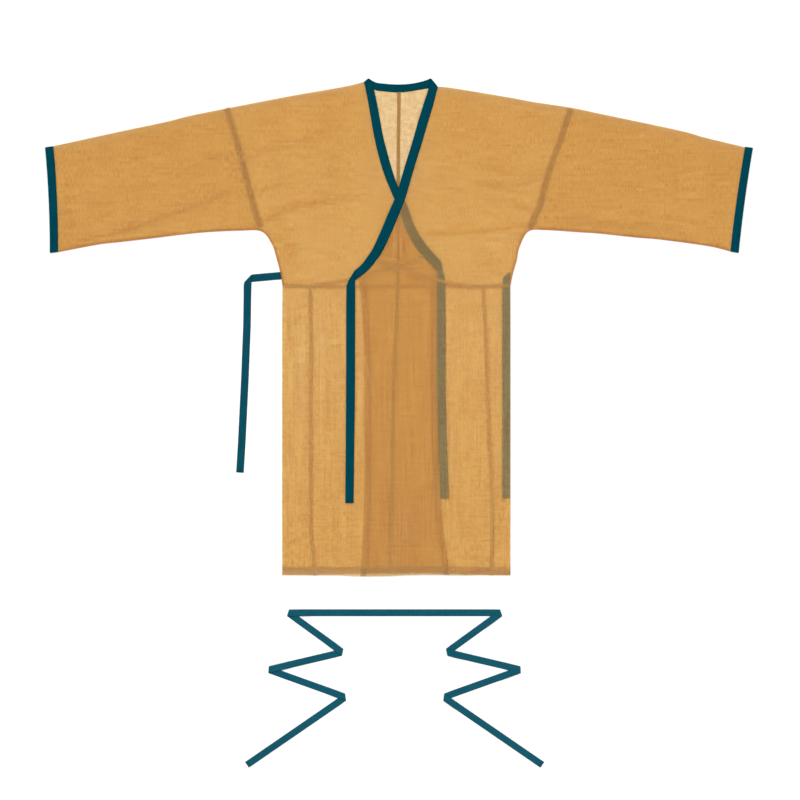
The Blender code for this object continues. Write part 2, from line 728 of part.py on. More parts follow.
def folded_strip(name, path, folds, width, material):
    """A strip on the surface. At each point number in folds it turns over and runs back on itself."""
    half = width / 2.0
    rest = TIE + GAP
    radius = fold_radius(rest, TIE)
    runs = [unit(end[0] - start[0], end[1] - start[1]) for start, end in zip(path, path[1:])]
    shell = Shell()
    rows = []
    side = 1.0

    def add(pairs):
        rows.append(shell.row(pairs if side > 0.0 else [(inner, outer) for outer, inner in pairs]))

    def across(ends, low):
        add([((x, y, low), (x, y, low + TIE)) for x, y in ends])

    def half_corner(number):
        before, after = runs[number - 1], runs[number]
        return math.acos(-before[0] * after[0] - before[1] * after[1]) / 2.0

    for number, run in enumerate(runs):
        start, end = path[number], path[number + 1]
        left = (-run[1] * side, run[0] * side)
        length = math.dist(start, end)
        marks = []
        if number == 0:
            marks.append((0.0, 0.0))
        elif number in folds:
            angle = half_corner(number)
            clear = half / math.tan(angle) + half * math.cos(angle) + FOLD_CLEAR
            marks += [(clear, rest), (clear + FOLD_RUN, 0.0)]
        if number + 1 in folds:
            length -= half / math.tan(half_corner(number + 1)) + FOLD_SHORT
        marks.append((length, 0.0))
        for distance, low in marks:
            point = offset(start, run, distance)
            across([offset(point, left, half), offset(point, left, -half)], low)
        if number + 1 in folds:
            after = runs[number + 1]
            along = unit(run[0] + after[0], run[1] + after[1])
            out = unit(run[0] - after[0], run[1] - after[1])
            reach = half / abs(run[0] * along[1] - run[1] * along[0])
            if along[0] * left[0] + along[1] * left[1] < 0.0:
                along = (-along[0], -along[1])
            centre = offset(end, out, -radius)
            ends = (offset(centre, along, reach), offset(centre, along, -reach))
            across(ends, 0.0)
            for pairs in zip(*(fold_pairs(point, out, rest, TIE) for point in ends)):
                add(pairs)
            side = -side
            across(ends, rest)
    for row, following in zip(rows, rows[1:]):
        shell.join(row, following)
    return shell.build(name, material)


def belt(material):
    other = [(2 * BELT_MIDDLE - x, y) for x, y in reversed(BELT_HALF)]
    path = BELT_HALF + other
    return folded_strip("belt", path, range(1, len(path) - 1), BELT_WIDTH, material)


def main():
    clear_scene()
    ochre, teal = make_material("ochre"), make_material("teal")
    for side in ("right", "left"):
        sleeve(side, ochre)
        cuff_band(side, teal)
        bodice(side, ochre)
        skirt_back(side, ochre)
        skirt_front(side, ochre)
    collar(teal)
    flat_tie("tie_inner", TIE_INNER, FRONT_REST, teal)
    flat_tie("tie_side_left", TIE_SIDE_LEFT, FRONT_REST, teal)
    flat_tie("tie_outer", TIE_OUTER, OUTER_TIE_REST, teal)
    folded_strip("tie_side_right", SIDE_TIE_RIGHT, (1,), SIDE_TIE_WIDTH, teal)
    belt(teal)


main()
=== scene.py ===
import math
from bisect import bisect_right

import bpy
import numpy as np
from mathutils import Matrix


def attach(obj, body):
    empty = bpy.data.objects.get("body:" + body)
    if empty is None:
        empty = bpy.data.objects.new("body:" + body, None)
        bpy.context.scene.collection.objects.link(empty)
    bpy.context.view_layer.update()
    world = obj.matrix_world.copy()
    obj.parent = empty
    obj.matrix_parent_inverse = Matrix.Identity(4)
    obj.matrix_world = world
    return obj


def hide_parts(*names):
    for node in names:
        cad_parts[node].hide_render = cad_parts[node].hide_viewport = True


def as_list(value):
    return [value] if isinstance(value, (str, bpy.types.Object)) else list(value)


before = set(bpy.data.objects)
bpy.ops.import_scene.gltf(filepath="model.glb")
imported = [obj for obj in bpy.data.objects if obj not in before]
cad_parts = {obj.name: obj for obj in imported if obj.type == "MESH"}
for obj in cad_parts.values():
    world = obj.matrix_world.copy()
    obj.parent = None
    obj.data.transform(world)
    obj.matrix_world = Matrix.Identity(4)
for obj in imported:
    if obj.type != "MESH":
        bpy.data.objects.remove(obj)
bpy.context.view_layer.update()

# The looks of a sheer robe laid flat: its cloth, bound edges, seams, hems, creases and folded belt.
#
# Sizes are in millimetres in the layout's own plan, as the robe's source has them: x runs towards the
# wearer's left sleeve, y towards the collar and z up off the floor. place() turns them into the frame.

MM = 0.001
LAYOUT_MIDDLE = (1.0, 0.2)

# Heights of the layers, as the solids have them
CLOTH = 1.0
BAND = 1.3
TIE = 1.0
GAP = 0.3
FRONT_REST = CLOTH + GAP
BAND_REST = BAND + GAP
OVER_INNER = BAND_REST + BAND + GAP
OUTER_TIE_REST = FRONT_REST + CLOTH + GAP
LIFT = OVER_INNER - FRONT_REST
LIFT_HOLD, LIFT_RUN = 30.0, 40.0    # how far past the inner front it stays, and comes down

# Hems and turned edges: how much is turned in, and turned again, and how far apart the layers lie
WAIST_Y = 289.0
HEM_Y = -320.0
HEM_DEEP, SECOND_TURN = 16.4, 5.0
EDGE_FOLD, EDGE_SECOND_TURN = 11.5, 3.2
TURN_APART = 0.15

TUCK = 3.0             # a panel's edge goes this far into the band that binds it
# The seams' allowances: width, added density and brownness of the sewn line along each
SEAM_WIDTH, SEAM_DENSE, SEAM_BROWN = 8.2, 0.39, 0.25
SLEEVE_SEAM_WIDTH, SLEEVE_SEAM_DENSE, SLEEVE_SEAM_BROWN = 11.5, 0.28, 0.8
CENTRE_SEAM_WIDTH, CENTRE_SEAM_DENSE = 7.4, 0.30
WAIST_SEAM_WIDTH, WAIST_SEAM_DENSE = 7.6, 0.15
SLEEVE_SEAM_LOOK = 0.45
SEAM_APART = 0.12      # the seam allowance lies this far inside its panel
SEAM_STEP = 4.0

# How finely the cloth is divided
BODICE_ROWS = 130
SHARED_COLUMNS = 88
UNDERARM_COLUMNS = 40
BAND_STEPS = 8
SLEEVE_STATIONS = 110
SLEEVE_ROWS = 70
SKIRT_ROWS = 150
SKIRT_BACK_COLUMNS = 64
SKIRT_WRAP_COLUMNS = 18
SKIRT_FRONT_COLUMNS = 72
CUFF_ROWS = 40
TAPE_COLUMNS = 10
TAPE_STEP = 8.0
FOLD_ANGLES = (-66.0, -33.0, 0.0, 33.0, 66.0)


# --- Plan geometry

def mix(a, b, share):
    return tuple(p + (q - p) * share for p, q in zip(a, b))


def offset(point, direction, distance):
    return (point[0] + direction[0] * distance, point[1] + direction[1] * distance)


def unit(x, y):
    length = math.hypot(x, y)
    return (x / length, y / length)


def direction(degrees):
    return math.cos(math.radians(degrees)), math.sin(math.radians(degrees))


def smooth(share):
    share = min(1.0, max(0.0, share))
    return share * share * (3.0 - 2.0 * share)


def spline(before, start, end, after, share):
    """One point of the Catmull-Rom curve from start to end."""
    a, b = share * share, share ** 3
    return tuple(
        0.5 * (2 * q + (r - p) * share + (2 * p - 5 * q + 4 * r - s) * a + (3 * q - p - 3 * r + s) * b)
        for p, q, r, s in zip(before, start, end, after)
    )


def smooth_rows(rows, steps):
    """The rows of a table, with steps - 1 smooth rows put in between each two."""
    out = []
    last = len(rows) - 1
    for number in range(last):
        around = [rows[max(number - 1, 0)], rows[number], rows[number + 1], rows[min(number + 2, last)]]
        out += [spline(*around, step / steps) for step in range(steps)]
    return out + [tuple(float(value) for value in rows[-1])]


class Curve:
    """A value for each key, smooth between the rows of a two-column table."""

    def __init__(self, rows):
        self.rows = sorted(rows)
        self.keys = [key for key, value in self.rows]
        self.slopes = []
        last = len(self.rows) - 1
        for i in range(last + 1):
            (x0, y0), (x1, y1) = self.rows[max(i - 1, 0)], self.rows[min(i + 1, last)]
            self.slopes.append((y1 - y0) / (x1 - x0))

    def __call__(self, key):
        if key <= self.keys[0]:
            return self.rows[0][1]
        if key >= self.keys[-1]:
            return self.rows[-1][1]
        i = bisect_right(self.keys, key) - 1
        (x0, y0), (x1, y1) = self.rows[i], self.rows[i + 1]
        span = x1 - x0
        t = (key - x0) / span
        return ((2 * t ** 3 - 3 * t ** 2 + 1) * y0 + (t ** 3 - 2 * t ** 2 + t) * span * self.slopes[i]
                + (3 * t ** 2 - 2 * t ** 3) * y1 + (t ** 3 - t ** 2) * span * self.slopes[i + 1])


def even_steps(points, count=None):
    """For each even step along a line, the number of the point before it and the share to the next."""
    lengths = [0.0]
    for start, end in zip(points, points[1:]):
        lengths.append(lengths[-1] + math.dist(start, end))
    count = count or max(2, round(lengths[-1] / SEAM_STEP))
    i = 0
    for number in range(count + 1):
        target = lengths[-1] * number / count
        while i < len(points) - 2 and lengths[i + 1] <= target:
            i += 1
        yield i, (target - lengths[i]) / (lengths[i + 1] - lengths[i])


class Edge:
    """A smooth edge in plan. It is read between two of its own points, in even lengths."""

    STEPS = 24

    def __init__(self, points, outward_left):
        self.points = smooth_rows(points, self.STEPS)
        self.turn = 1.0 if outward_left else -1.0

    def outward(self, index):
        low, high = max(index - 1, 0), min(index + 1, len(self.points) - 1)
        (x0, y0), (x1, y1) = self.points[low], self.points[high]
        along = unit(x1 - x0, y1 - y0)
        return (-along[1] * self.turn, along[0] * self.turn)

    def divide(self, first, last, count):
        """count + 1 pairs of point and outward direction, from point number first to last."""
        low, high = first * self.STEPS, last * self.STEPS
        out = []
        for i, share in even_steps(self.points[low:high + 1], count):
            i += low
            point = mix(self.points[i], self.points[i + 1], share)
            out.append((point, unit(*mix(self.outward(i), self.outward(i + 1), share))))
        return out


# --- The robe's outlines, within a few millimetres of the solids'

# Each half of the robe: its outline, its front waist seam as (x, y), and down the skirt, as (y, x),
# its side, the seam on its front and its free edge
SIDES = {
    "right": {
        "inward": 1.0,
        "cuff": {"outer": ((-742, 579), (-732, 357)), "inner": ((-724.6, 581.3), (-714.8, 359)),
                 "bow": 2.6},
        "shoulder": [(-726, 581), (-606, 607.3), (-490, 632), (-438, 645), (-361, 660.5), (-228, 686.2),
                     (-119, 705.2), (-73, 716)],
        "under": [(-715, 359), (-631, 375), (-585, 380.2), (-520, 387.8), (-417, 399.9), (-330, 404.4),
                  (-288, 402.6), (-266, 376), (-255.5, 344), (-248.5, 317), (-243.8, 289)],
        "shoulder_seam": 4,
        "under_seam": 6,
        "last_foot": -85,
        "waist": Curve([(-243, 289), (-190, 287), (-109, 300), (-56, 315), (5, 332), (54, 347)]),
        "side": Curve([(289, -243.8), (200, -244.3), (-320, -244.3)]),
        "seam": Curve([(289, -184), (174, -182), (-227, -182), (-277, -177), (-320, -174)]),
        "free": Curve([(350, 81), (300, 80.5), (174, 79.5), (48, 80), (-57, 83), (-158, 86.5), (-233, 95),
                       (-320, 107)]),
    },
    "left": {
        "inward": -1.0,
        "cuff": {"outer": ((744, 578), (714, 357)), "inner": ((727.7, 580), (696.8, 360)),
                 "bow": 2.0},
        "shoulder": [(729, 578.6), (640, 600.2), (591, 613.8), (423, 649.4), (362, 662), (284, 673.9),
                     (234, 683.2), (117, 702.6), (83, 706)],
        "under": [(698, 360), (650, 371.8), (549, 385.6), (500, 389.7), (419, 398.4), (381, 400.8),
                  (310, 405.5), (273, 402.8), (254, 370), (248, 342), (240, 314), (234.8, 289)],
        "shoulder_seam": 4,
        "under_seam": 7,
        "last_foot": 74,
        "waist": Curve([(-48, 340), (5, 322), (60, 307), (100, 295.5), (140, 289), (190, 286), (234, 289)]),
        "side": Curve([(289, 234.8), (200, 235), (-320, 235)]),
        "seam": Curve([(289, 177), (185, 183), (-23, 190), (-107, 195), (-248, 197), (-320, 193)]),
        "free": Curve([(350, -84), (300, -83), (286, -80.5), (225, -75), (132, -71), (-134, -71),
                       (-275, -75), (-320, -81)]),
    },
}

# The back's waist seam as (x, y), and its centre seam as (y, x)
BACK_WAIST = Curve([(-243, 289), (-180, 286.5), (-110, 286), (87, 287), (160, 286), (234, 289)])
CENTRE_BACK = Curve([(716, 1), (494, -1), (307, -1), (90, -9), (-50, -12), (-218, -16), (-320, -19)])

# How far right the inner front, its band and its tie reach, as (y, x)
INNER_REACH = Curve([(724, -54), (601, -30), (527, -9), (491, 3), (455, 19), (420, 31), (390, 47),
                     (360, 70), (340, 89), (300, 100), (100, 100), (-57, 102), (-159, 106), (-233, 98),
                     (-320, 108)])

# Collar bands, a row for each section: seam edge x, y and free edge x, y
INNER_BAND = [
    (81, 319, 89, 340), (54, 347, 70, 360), (30, 378, 47, 390), (13, 412, 31, 420), (0, 449, 19, 455),
    (-15, 485, 1, 491), (-29.5, 521, -12.2, 527), (-41.1, 559, -23, 565), (-50, 596, -32.3, 601),
    (-56.8, 634, -39.2, 638), (-63.4, 672, -46, 675), (-70, 705, -54, 708), (-73, 716, -63, 724),
]
BACK_BAND = [
    (-73, 716, -63, 724), (-51, 700, -48, 715.3), (-27, 696, -27, 712.3), (-1, 694.1, -1, 710.9),
    (25, 696.5, 25, 712.4), (51, 700.8, 51, 717.6), (83, 706, 68, 724),
]
OUTER_BAND = [
    (83, 706, 68, 724), (79, 692, 61.5, 697), (72.3, 666, 53, 671), (60.5, 627, 41, 632),
    (49.5, 589, 30.3, 594), (36.8, 548, 18, 554), (25.4, 510, 6.5, 516), (14, 471, -5, 478),
    (-1, 433, -21, 441), (-17, 395, -37, 403), (-35, 358, -53, 368), (-48, 340, -63, 352),
    (-65, 320, -77, 333), (-91, 300, -93, 319),
]
BAND_TIP = 11          # the skirt's front begins at this row of its band, from the collar corner
CORNER_INSET = 0.8     # at a collar corner, the folded seam edge lies this far inside its line

# Ties, a row for each section: left edge x, y and right edge x, y
TIE_OUTER = [
    (-92.8, 318.6, -90.8, 299.6), (-97.6, 311, -91.0, 296), (-105, 299, -91.2, 290), (-109, 288, -91, 285),
    (-109.5, 262, -91, 262), (-110, 60, -91.6, 60), (-111.5, -168, -94.5, -168),
]
TIE_INNER = [
    (81.9, 318.2, 89.9, 339.2), (82, 311, 91.4, 327), (81.8, 300, 95.8, 309), (81.0, 288, 98.6, 290),
    (80.6, 174, 99.2, 174), (81, 48, 99.4, 48), (84, -57, 102.4, -57), (87.6, -159, 106, -159),
]
TIE_SIDE_LEFT = [
    (220, 305, 234.5, 318), (218.5, 286, 234, 286), (217.8, 262, 234, 262), (218, 48, 234, 48),
    (218, -158, 233.8, -158),
]
SIDE_TIE_WIDTH = 15.8
SIDE_TIE_RIGHT = [(-244.4, 309.6), (-316.8, 303.2), (-318.2, 205), (-322.8, 88), (-329.2, -42),
                  (-333.0, -104)]
# Where the outer front lies on the left side tie: its lift starts at left and is full at full
SIDE_TIE_ROOM = {"left": 180.0, "full": 205.0, "top": 345.0, "bottom": -185.0, "run": 45.0}

# Belt, folded on itself at each corner: the right half mirrors the left about BELT_MIDDLE
BELT_WIDTH = 14.4
BELT_MIDDLE = -8.2
BELT_HALF = [(-318.2, -717.8), (-111.3, -575.6), (-272.8, -517.9), (-117.4, -481.4), (-232.0, -398.4)]
# Where a strip turns over: how much shorter its lower run is than the corner needs, how much longer its
# upper run stays on the lower one, and over what length it then comes down
FOLD_SHORT, FOLD_CLEAR, FOLD_RUN = 3.0, 2.0, 25.0


# --- Creases

# Ridges of the cloth, a row for each: start x, y, middle x, y, end x, y, half width, height, and how
# much denser the crest looks: partly the cloth bunched there and partly painted shade, and painted light
# where it is below zero
FRONT_CREASES = [
    # the wearer's right sleeve
    (-682, 383, -513, 432, -310, 510, 16, 2.8, 0.50), (-640, 560, -540, 572, -440, 600, 24, 1.2, 0.02),
    (-480, 528, -410, 550, -350, 572, 20, 1.4, 0.16), (-655, 440, -634, 500, -640, 560, 30, -0.6, -0.11),
    (-585, 397, -448, 414, -300, 428, 30, 0.5, -0.12), (-470, 478, -396, 508, -330, 540, 32, 0.5, -0.10),
    (-702, 556, -694, 479, -700, 385, 18, 0.6, 0.14), (-560, 607, -490, 621, -410, 638, 24, 0.3, -0.12),
    (-700, 470, -620, 480, -540, 500, 22, 1.0, 0.02), (-600, 500, -520, 520, -440, 560, 20, 1.0, 0.03),
    (-560, 440, -480, 470, -400, 520, 18, 1.2, 0.03),
    # the right bodice
    (-290, 416, -228, 455, -56, 484, 15, 2.6, 0.44), (-340, 530, -285, 578, -150, 608, 18, 1.8, 0.28),
    (-318, 480, -274, 498, -225, 514, 15, 1.4, 0.18), (-244, 350, -226, 358, -202, 372, 13, 1.2, 0.18),
    (-278, 436, -240, 384, -222, 306, 44, 0.5, 0.17),
    (-246, 303, -212, 302, -176, 301, 17, 0.8, 0.16),
    (-200, 560, -160, 600, -130, 650, 22, 1.0, 0.02),
    # the left bodice
    (130, 560, 210, 536, 310, 528, 15, 1.7, 0.18), (150, 514, 215, 500, 306, 526, 15, 1.5, 0.26),
    (230, 468, 258, 456, 288, 438, 13, 1.5, 0.24), (40, 400, 160, 406, 304, 418, 14, 2.2, 0.34),
    (280, 412, 264, 366, 250, 310, 40, 0.5, 0.18), (180, 428, 214, 424, 250, 430, 24, 0.6, 0.10),
    (100, 620, 180, 610, 260, 600, 24, 1.0, 0.02), (130, 360, 180, 352, 230, 360, 16, 1.0, 0.02),
    # the wearer's left sleeve
    (340, 440, 448, 436, 570, 420, 60, 0.5, -0.06), (330, 560, 400, 600, 500, 600, 60, 0.4, -0.04),
    (306, 428, 410, 424, 600, 412, 16, 2.2, 0.26), (400, 600, 500, 580, 620, 560, 26, 1.1, 0.02),
    (360, 520, 460, 515, 560, 480, 22, 1.1, 0.03), (560, 440, 620, 430, 680, 400, 18, 1.2, 0.03),
    # the skirt, mostly down the grain
    (-222, 240, -218, 120, -224, -20, 10, 1.0, 0.03), (-150, 200, -146, 60, -152, -120, 12, 0.9, 0.03),
    (-130, 60, -134, -80, -128, -240, 11, 0.8, 0.03), (-72, 150, -62, 104, -46, 40, 9, 1.2, 0.28),
    (-60, 120, -58, 30, -62, -80, 6, 1.0, 0.07), (-42, 90, -40, 40, -44, -40, 5, 0.9, 0.06),
    (30, 230, 34, 100, 28, -60, 12, 0.9, 0.03), (62, 260, 64, 120, 60, -20, 8, 0.9, 0.04),
    (130, 240, 136, 80, 132, -100, 12, 0.9, 0.03),
    (-207, 262, -203, 90, -207, -70, 24, 0.4, -0.10), (-160, 268, -161, 132, -165, -10, 15, 0.7, -0.10),
    (-231, 0, -228, -162, -231, -300, 22, 0.4, -0.09),
    (112, -180, 120, -240, 128, -300, 30, 0.4, -0.08), (160, 60, 158, -60, 164, -220, 12, 0.9, 0.03),
    (212, 60, 208, -90, 214, -250, 10, 0.8, 0.03), (20, -80, 14, -180, 22, -290, 12, 0.8, 0.03),
    (10, -120, 12, -220, 14, -330, 110, 0.1, 0.13), (0, 450, 2, 385, 4, 300, 70, 0.1, 0.10),
]

# Fine gathers that fan out below the crossing of the bands, and over the waist: the same columns,
# with the same painted shade on their crests
GATHERS = [
    (-2, 446, -12, 418, -24, 388, 3.0, 0.8, 0.14), (2, 444, -4, 416, -12, 384, 2.6, 0.8, 0.14),
    (4, 440, 4, 410, 0, 372, 3.2, 0.9, 0.16), (8, 430, 10, 404, 10, 370, 2.6, 0.7, 0.12),
    (-10, 430, -22, 400, -36, 372, 2.8, 0.7, 0.12), (12, 416, 18, 396, 22, 368, 2.6, 0.7, 0.10),
    (-14, 410, -28, 382, -44, 356, 2.6, 0.6, 0.10), (-6, 396, -12, 366, -14, 340, 3.4, 0.7, 0.12),
    (18, 350, 40, 342, 62, 330, 2.6, 0.8, 0.12), (20, 341, 44, 334, 70, 320, 2.4, 0.8, 0.12),
    (24, 357, 46, 352, 66, 342, 2.4, 0.7, 0.10), (14, 332, 40, 326, 64, 314, 2.6, 0.7, 0.10),
    (-20, 334, 0, 336, 20, 331, 2.6, 0.6, 0.08), (-34, 346, -8, 343, 16, 344, 2.4, 0.6, 0.08),
]

# Ridges of the back panels, lower, because the back lies flat
BACK_CREASES = [
    (-640, 470, -540, 500, -430, 540, 24, 0.6, 0.02), (430, 560, 540, 520, 650, 480, 24, 0.6, 0.02),
    (-260, 560, -160, 520, -60, 520, 22, 0.6, 0.02), (60, 470, 160, 500, 260, 560, 22, 0.6, 0.02),
    (-200, 200, -190, 60, -200, -160, 16, 0.5, 0.03), (-90, 120, -84, -40, -92, -240, 14, 0.5, 0.03),
    (70, 220, 76, 60, 70, -140, 16, 0.5, 0.03), (190, 120, 186, -40, 192, -220, 14, 0.5, 0.03),
    (-60, 250, -56, 180, -60, 90, 7, 0.4, 0.04), (20, 640, 24, 600, 18, 560, 10, 0.3, 0.02),
]
CREASE_PARTS = 8       # a crease is read as this many straight parts
CREASE_REACH = 3.0     # it is felt this many widths away
CREASE_TAPER = 0.7     # how soon it dies out towards its ends
FAR_AWAY = 1e9
STEEP_SIDE = 0.6       # a crease is this much narrower on its steep side
CREST = 0.4            # and its denser crest, partly painted shade, is this share of its width

# Slow swells of the cloth: wavelength, direction in degrees, start in degrees, height
SWELLS = [
    (210, 20, 40, 0.16), (150, 75, 210, 0.14), (118, 130, 95, 0.10), (92, 48, 300, 0.08),
    (74, 100, 15, 0.06), (61, 160, 250, 0.05),
]


def to_part(x, y, start, end):
    """Where a straight part is nearest to x, y, as a share of it, the way from there, and its run."""
    run_x, run_y = end[0] - start[0], end[1] - start[1]
    share = ((x - start[0]) * run_x + (y - start[1]) * run_y) / (run_x ** 2 + run_y ** 2)
    share = share.clip(0.0, 1.0)
    return share, x - start[0] - run_x * share, y - start[1] - run_y * share, run_x, run_y


def crease_field(x, y, creases):
    """The height and the added density, partly painted shade, that a table of creases gives
    at arrays of points.
    """
    height, dense = np.zeros_like(x), np.zeros_like(x)
    for x0, y0, x1, y1, x2, y2, width, rise, dense_and_shade in creases:
        reach = CREASE_REACH * width
        near = ((x > min(x0, x1, x2) - reach) & (x < max(x0, x1, x2) + reach)
                & (y > min(y0, y1, y2) - reach) & (y < max(y0, y1, y2) + reach))
        if not near.any():
            continue
        px, py = x[near], y[near]
        shares = np.linspace(0.0, 1.0, CREASE_PARTS + 1)
        through = (2 * x1 - (x0 + x2) / 2, 2 * y1 - (y0 + y2) / 2)
        line_x = (1 - shares) ** 2 * x0 + 2 * shares * (1 - shares) * through[0] + shares ** 2 * x2
        line_y = (1 - shares) ** 2 * y0 + 2 * shares * (1 - shares) * through[1] + shares ** 2 * y2
        away = np.full_like(px, FAR_AWAY)
        side = np.zeros_like(px)
        along = np.zeros_like(px)
        line = list(zip(line_x, line_y))
        for i in range(CREASE_PARTS):
            share, off_x, off_y, run_x, run_y = to_part(px, py, line[i], line[i + 1])
            apart = np.hypot(off_x, off_y)
            closer = apart < away
            away = np.where(closer, apart, away)
            side = np.where(closer, run_x * off_y - run_y * off_x, side)
            along = np.where(closer, (i + share) / CREASE_PARTS, along)
        taper = np.sin(np.pi * along.clip(0.0, 1.0)) ** CREASE_TAPER
        wide = np.where(side > 0.0, width, width * STEEP_SIDE)
        height[near] += rise * taper * np.exp(-(away / wide) ** 2)
        dense[near] += dense_and_shade * taper * np.exp(-(away / (width * CREST)) ** 2)
    return height, dense


# Fine gathers fan out below the crossing of the bands, and lie slanted along the waist below it. Their
# streaks in the cloth's density and colour are partly bunched cloth and partly painted shade
FAN_CENTRE = (4.0, 474.0)
FAN_NEAR, FAN_FAR, FAN_RUN = 30.0, 125.0, 45.0
FAN_LEFT, FAN_RIGHT, FAN_SOFT = -40.0, 3.0, 8.0    # in degrees from straight down
FAN_START = 10.0
RUCK_BOX = (-40.0, 74.0, 312.0, 350.0)
RUCK_SOFT = 16.0
RUCK_ANGLE = -15.0


def ramp(value, start, run):
    share = ((value - start) / run).clip(0.0, 1.0)
    return share * share * (3.0 - 2.0 * share)


def fan_share(x, y):
    away = np.hypot(x - FAN_CENTRE[0], y - FAN_CENTRE[1])
    angle = np.degrees(np.arctan2(x - FAN_CENTRE[0], FAN_CENTRE[1] - y))
    beside = ramp(angle, FAN_LEFT, FAN_SOFT) * (1.0 - ramp(angle, FAN_RIGHT, FAN_SOFT))
    return beside * ramp(away, FAN_NEAR, FAN_START) * (1.0 - ramp(away, FAN_FAR - FAN_RUN / 2, FAN_RUN))


def ruck_share(x, y):
    left, right, low, high = RUCK_BOX
    across = ramp(x, left - RUCK_SOFT, RUCK_SOFT) * (1.0 - ramp(x, right, RUCK_SOFT))
    return across * ramp(y, low - RUCK_SOFT, RUCK_SOFT) * (1.0 - ramp(y, high, RUCK_SOFT))


def swell_field(x, y):
    total = np.zeros_like(x)
    for length, heading, start, height in SWELLS:
        head_x, head_y = direction(heading)
        across = x * head_x + y * head_y
        total += height * np.sin(2 * math.pi * across / length + math.radians(start))
    return total


def front_relief(x, y):
    height, dense = crease_field(x, y, FRONT_CREASES + GATHERS)
    return height + swell_field(x, y), dense


BACK_SWELL, BACK_SWELL_BASE = 0.5, 0.6    # the back lies on the floor, so its swells only rise


def back_relief(x, y):
    height, dense = crease_field(x, y, BACK_CREASES)
    return height + BACK_SWELL * (BACK_SWELL_BASE + swell_field(y, -x)).clip(0.0, None), dense


# --- Heights of the layers

def outer_share(x, y):
    """1 where the inner front, its band or its tie is under the outer front, and 0 well past them."""
    return smooth((LIFT_HOLD + LIFT_RUN - (x - INNER_REACH(y))) / LIFT_RUN)


def side_tie_share(x, y):
    room = SIDE_TIE_ROOM
    across = smooth((x - room["left"]) / (room["full"] - room["left"]))
    below = smooth((room["top"] + room["run"] - y) / room["run"])
    above = smooth((y - room["bottom"] + room["run"]) / room["run"])
    return across * below * above


def floor_level(x, y):
    return 0.0


def inner_rest(x, y):
    return FRONT_REST


def outer_rest(x, y):
    return FRONT_REST + max(LIFT * outer_share(x, y), (TIE + GAP) * side_tie_share(x, y))


REST = {"right": inner_rest, "left": outer_rest}


# --- Sheets

def place(points):
    """Layout points in millimetres as an array in the frame, in metres."""
    return (np.array(points, float) - (*LAYOUT_MIDDLE, 0.0)) * MM


def add_object(name, data):
    item = bpy.data.objects.new(name, data)
    bpy.context.scene.collection.objects.link(item)
    return item


def new_object(name, points, faces, uvs, material, masks=()):
    mesh = bpy.data.meshes.new("cloth_" + name)
    mesh.from_pydata(place(points).tolist(), [], faces)
    layer = mesh.uv_layers.new(name="cloth")
    corners = np.zeros(len(mesh.loops), np.int32)
    mesh.loops.foreach_get("vertex_index", corners)
    layer.data.foreach_set("uv", (np.array(uvs, float)[corners] * MM).astype(np.float32).ravel())
    for key in masks:
        values = masks[key].astype(np.float32)
        mesh.attributes.new(key, "FLOAT", "POINT").data.foreach_set("value", values)
    mesh.shade_smooth()
    mesh.materials.append(material)
    item = add_object(mesh.name, mesh)
    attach(item, "root")
    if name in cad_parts:
        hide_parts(name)
    return item


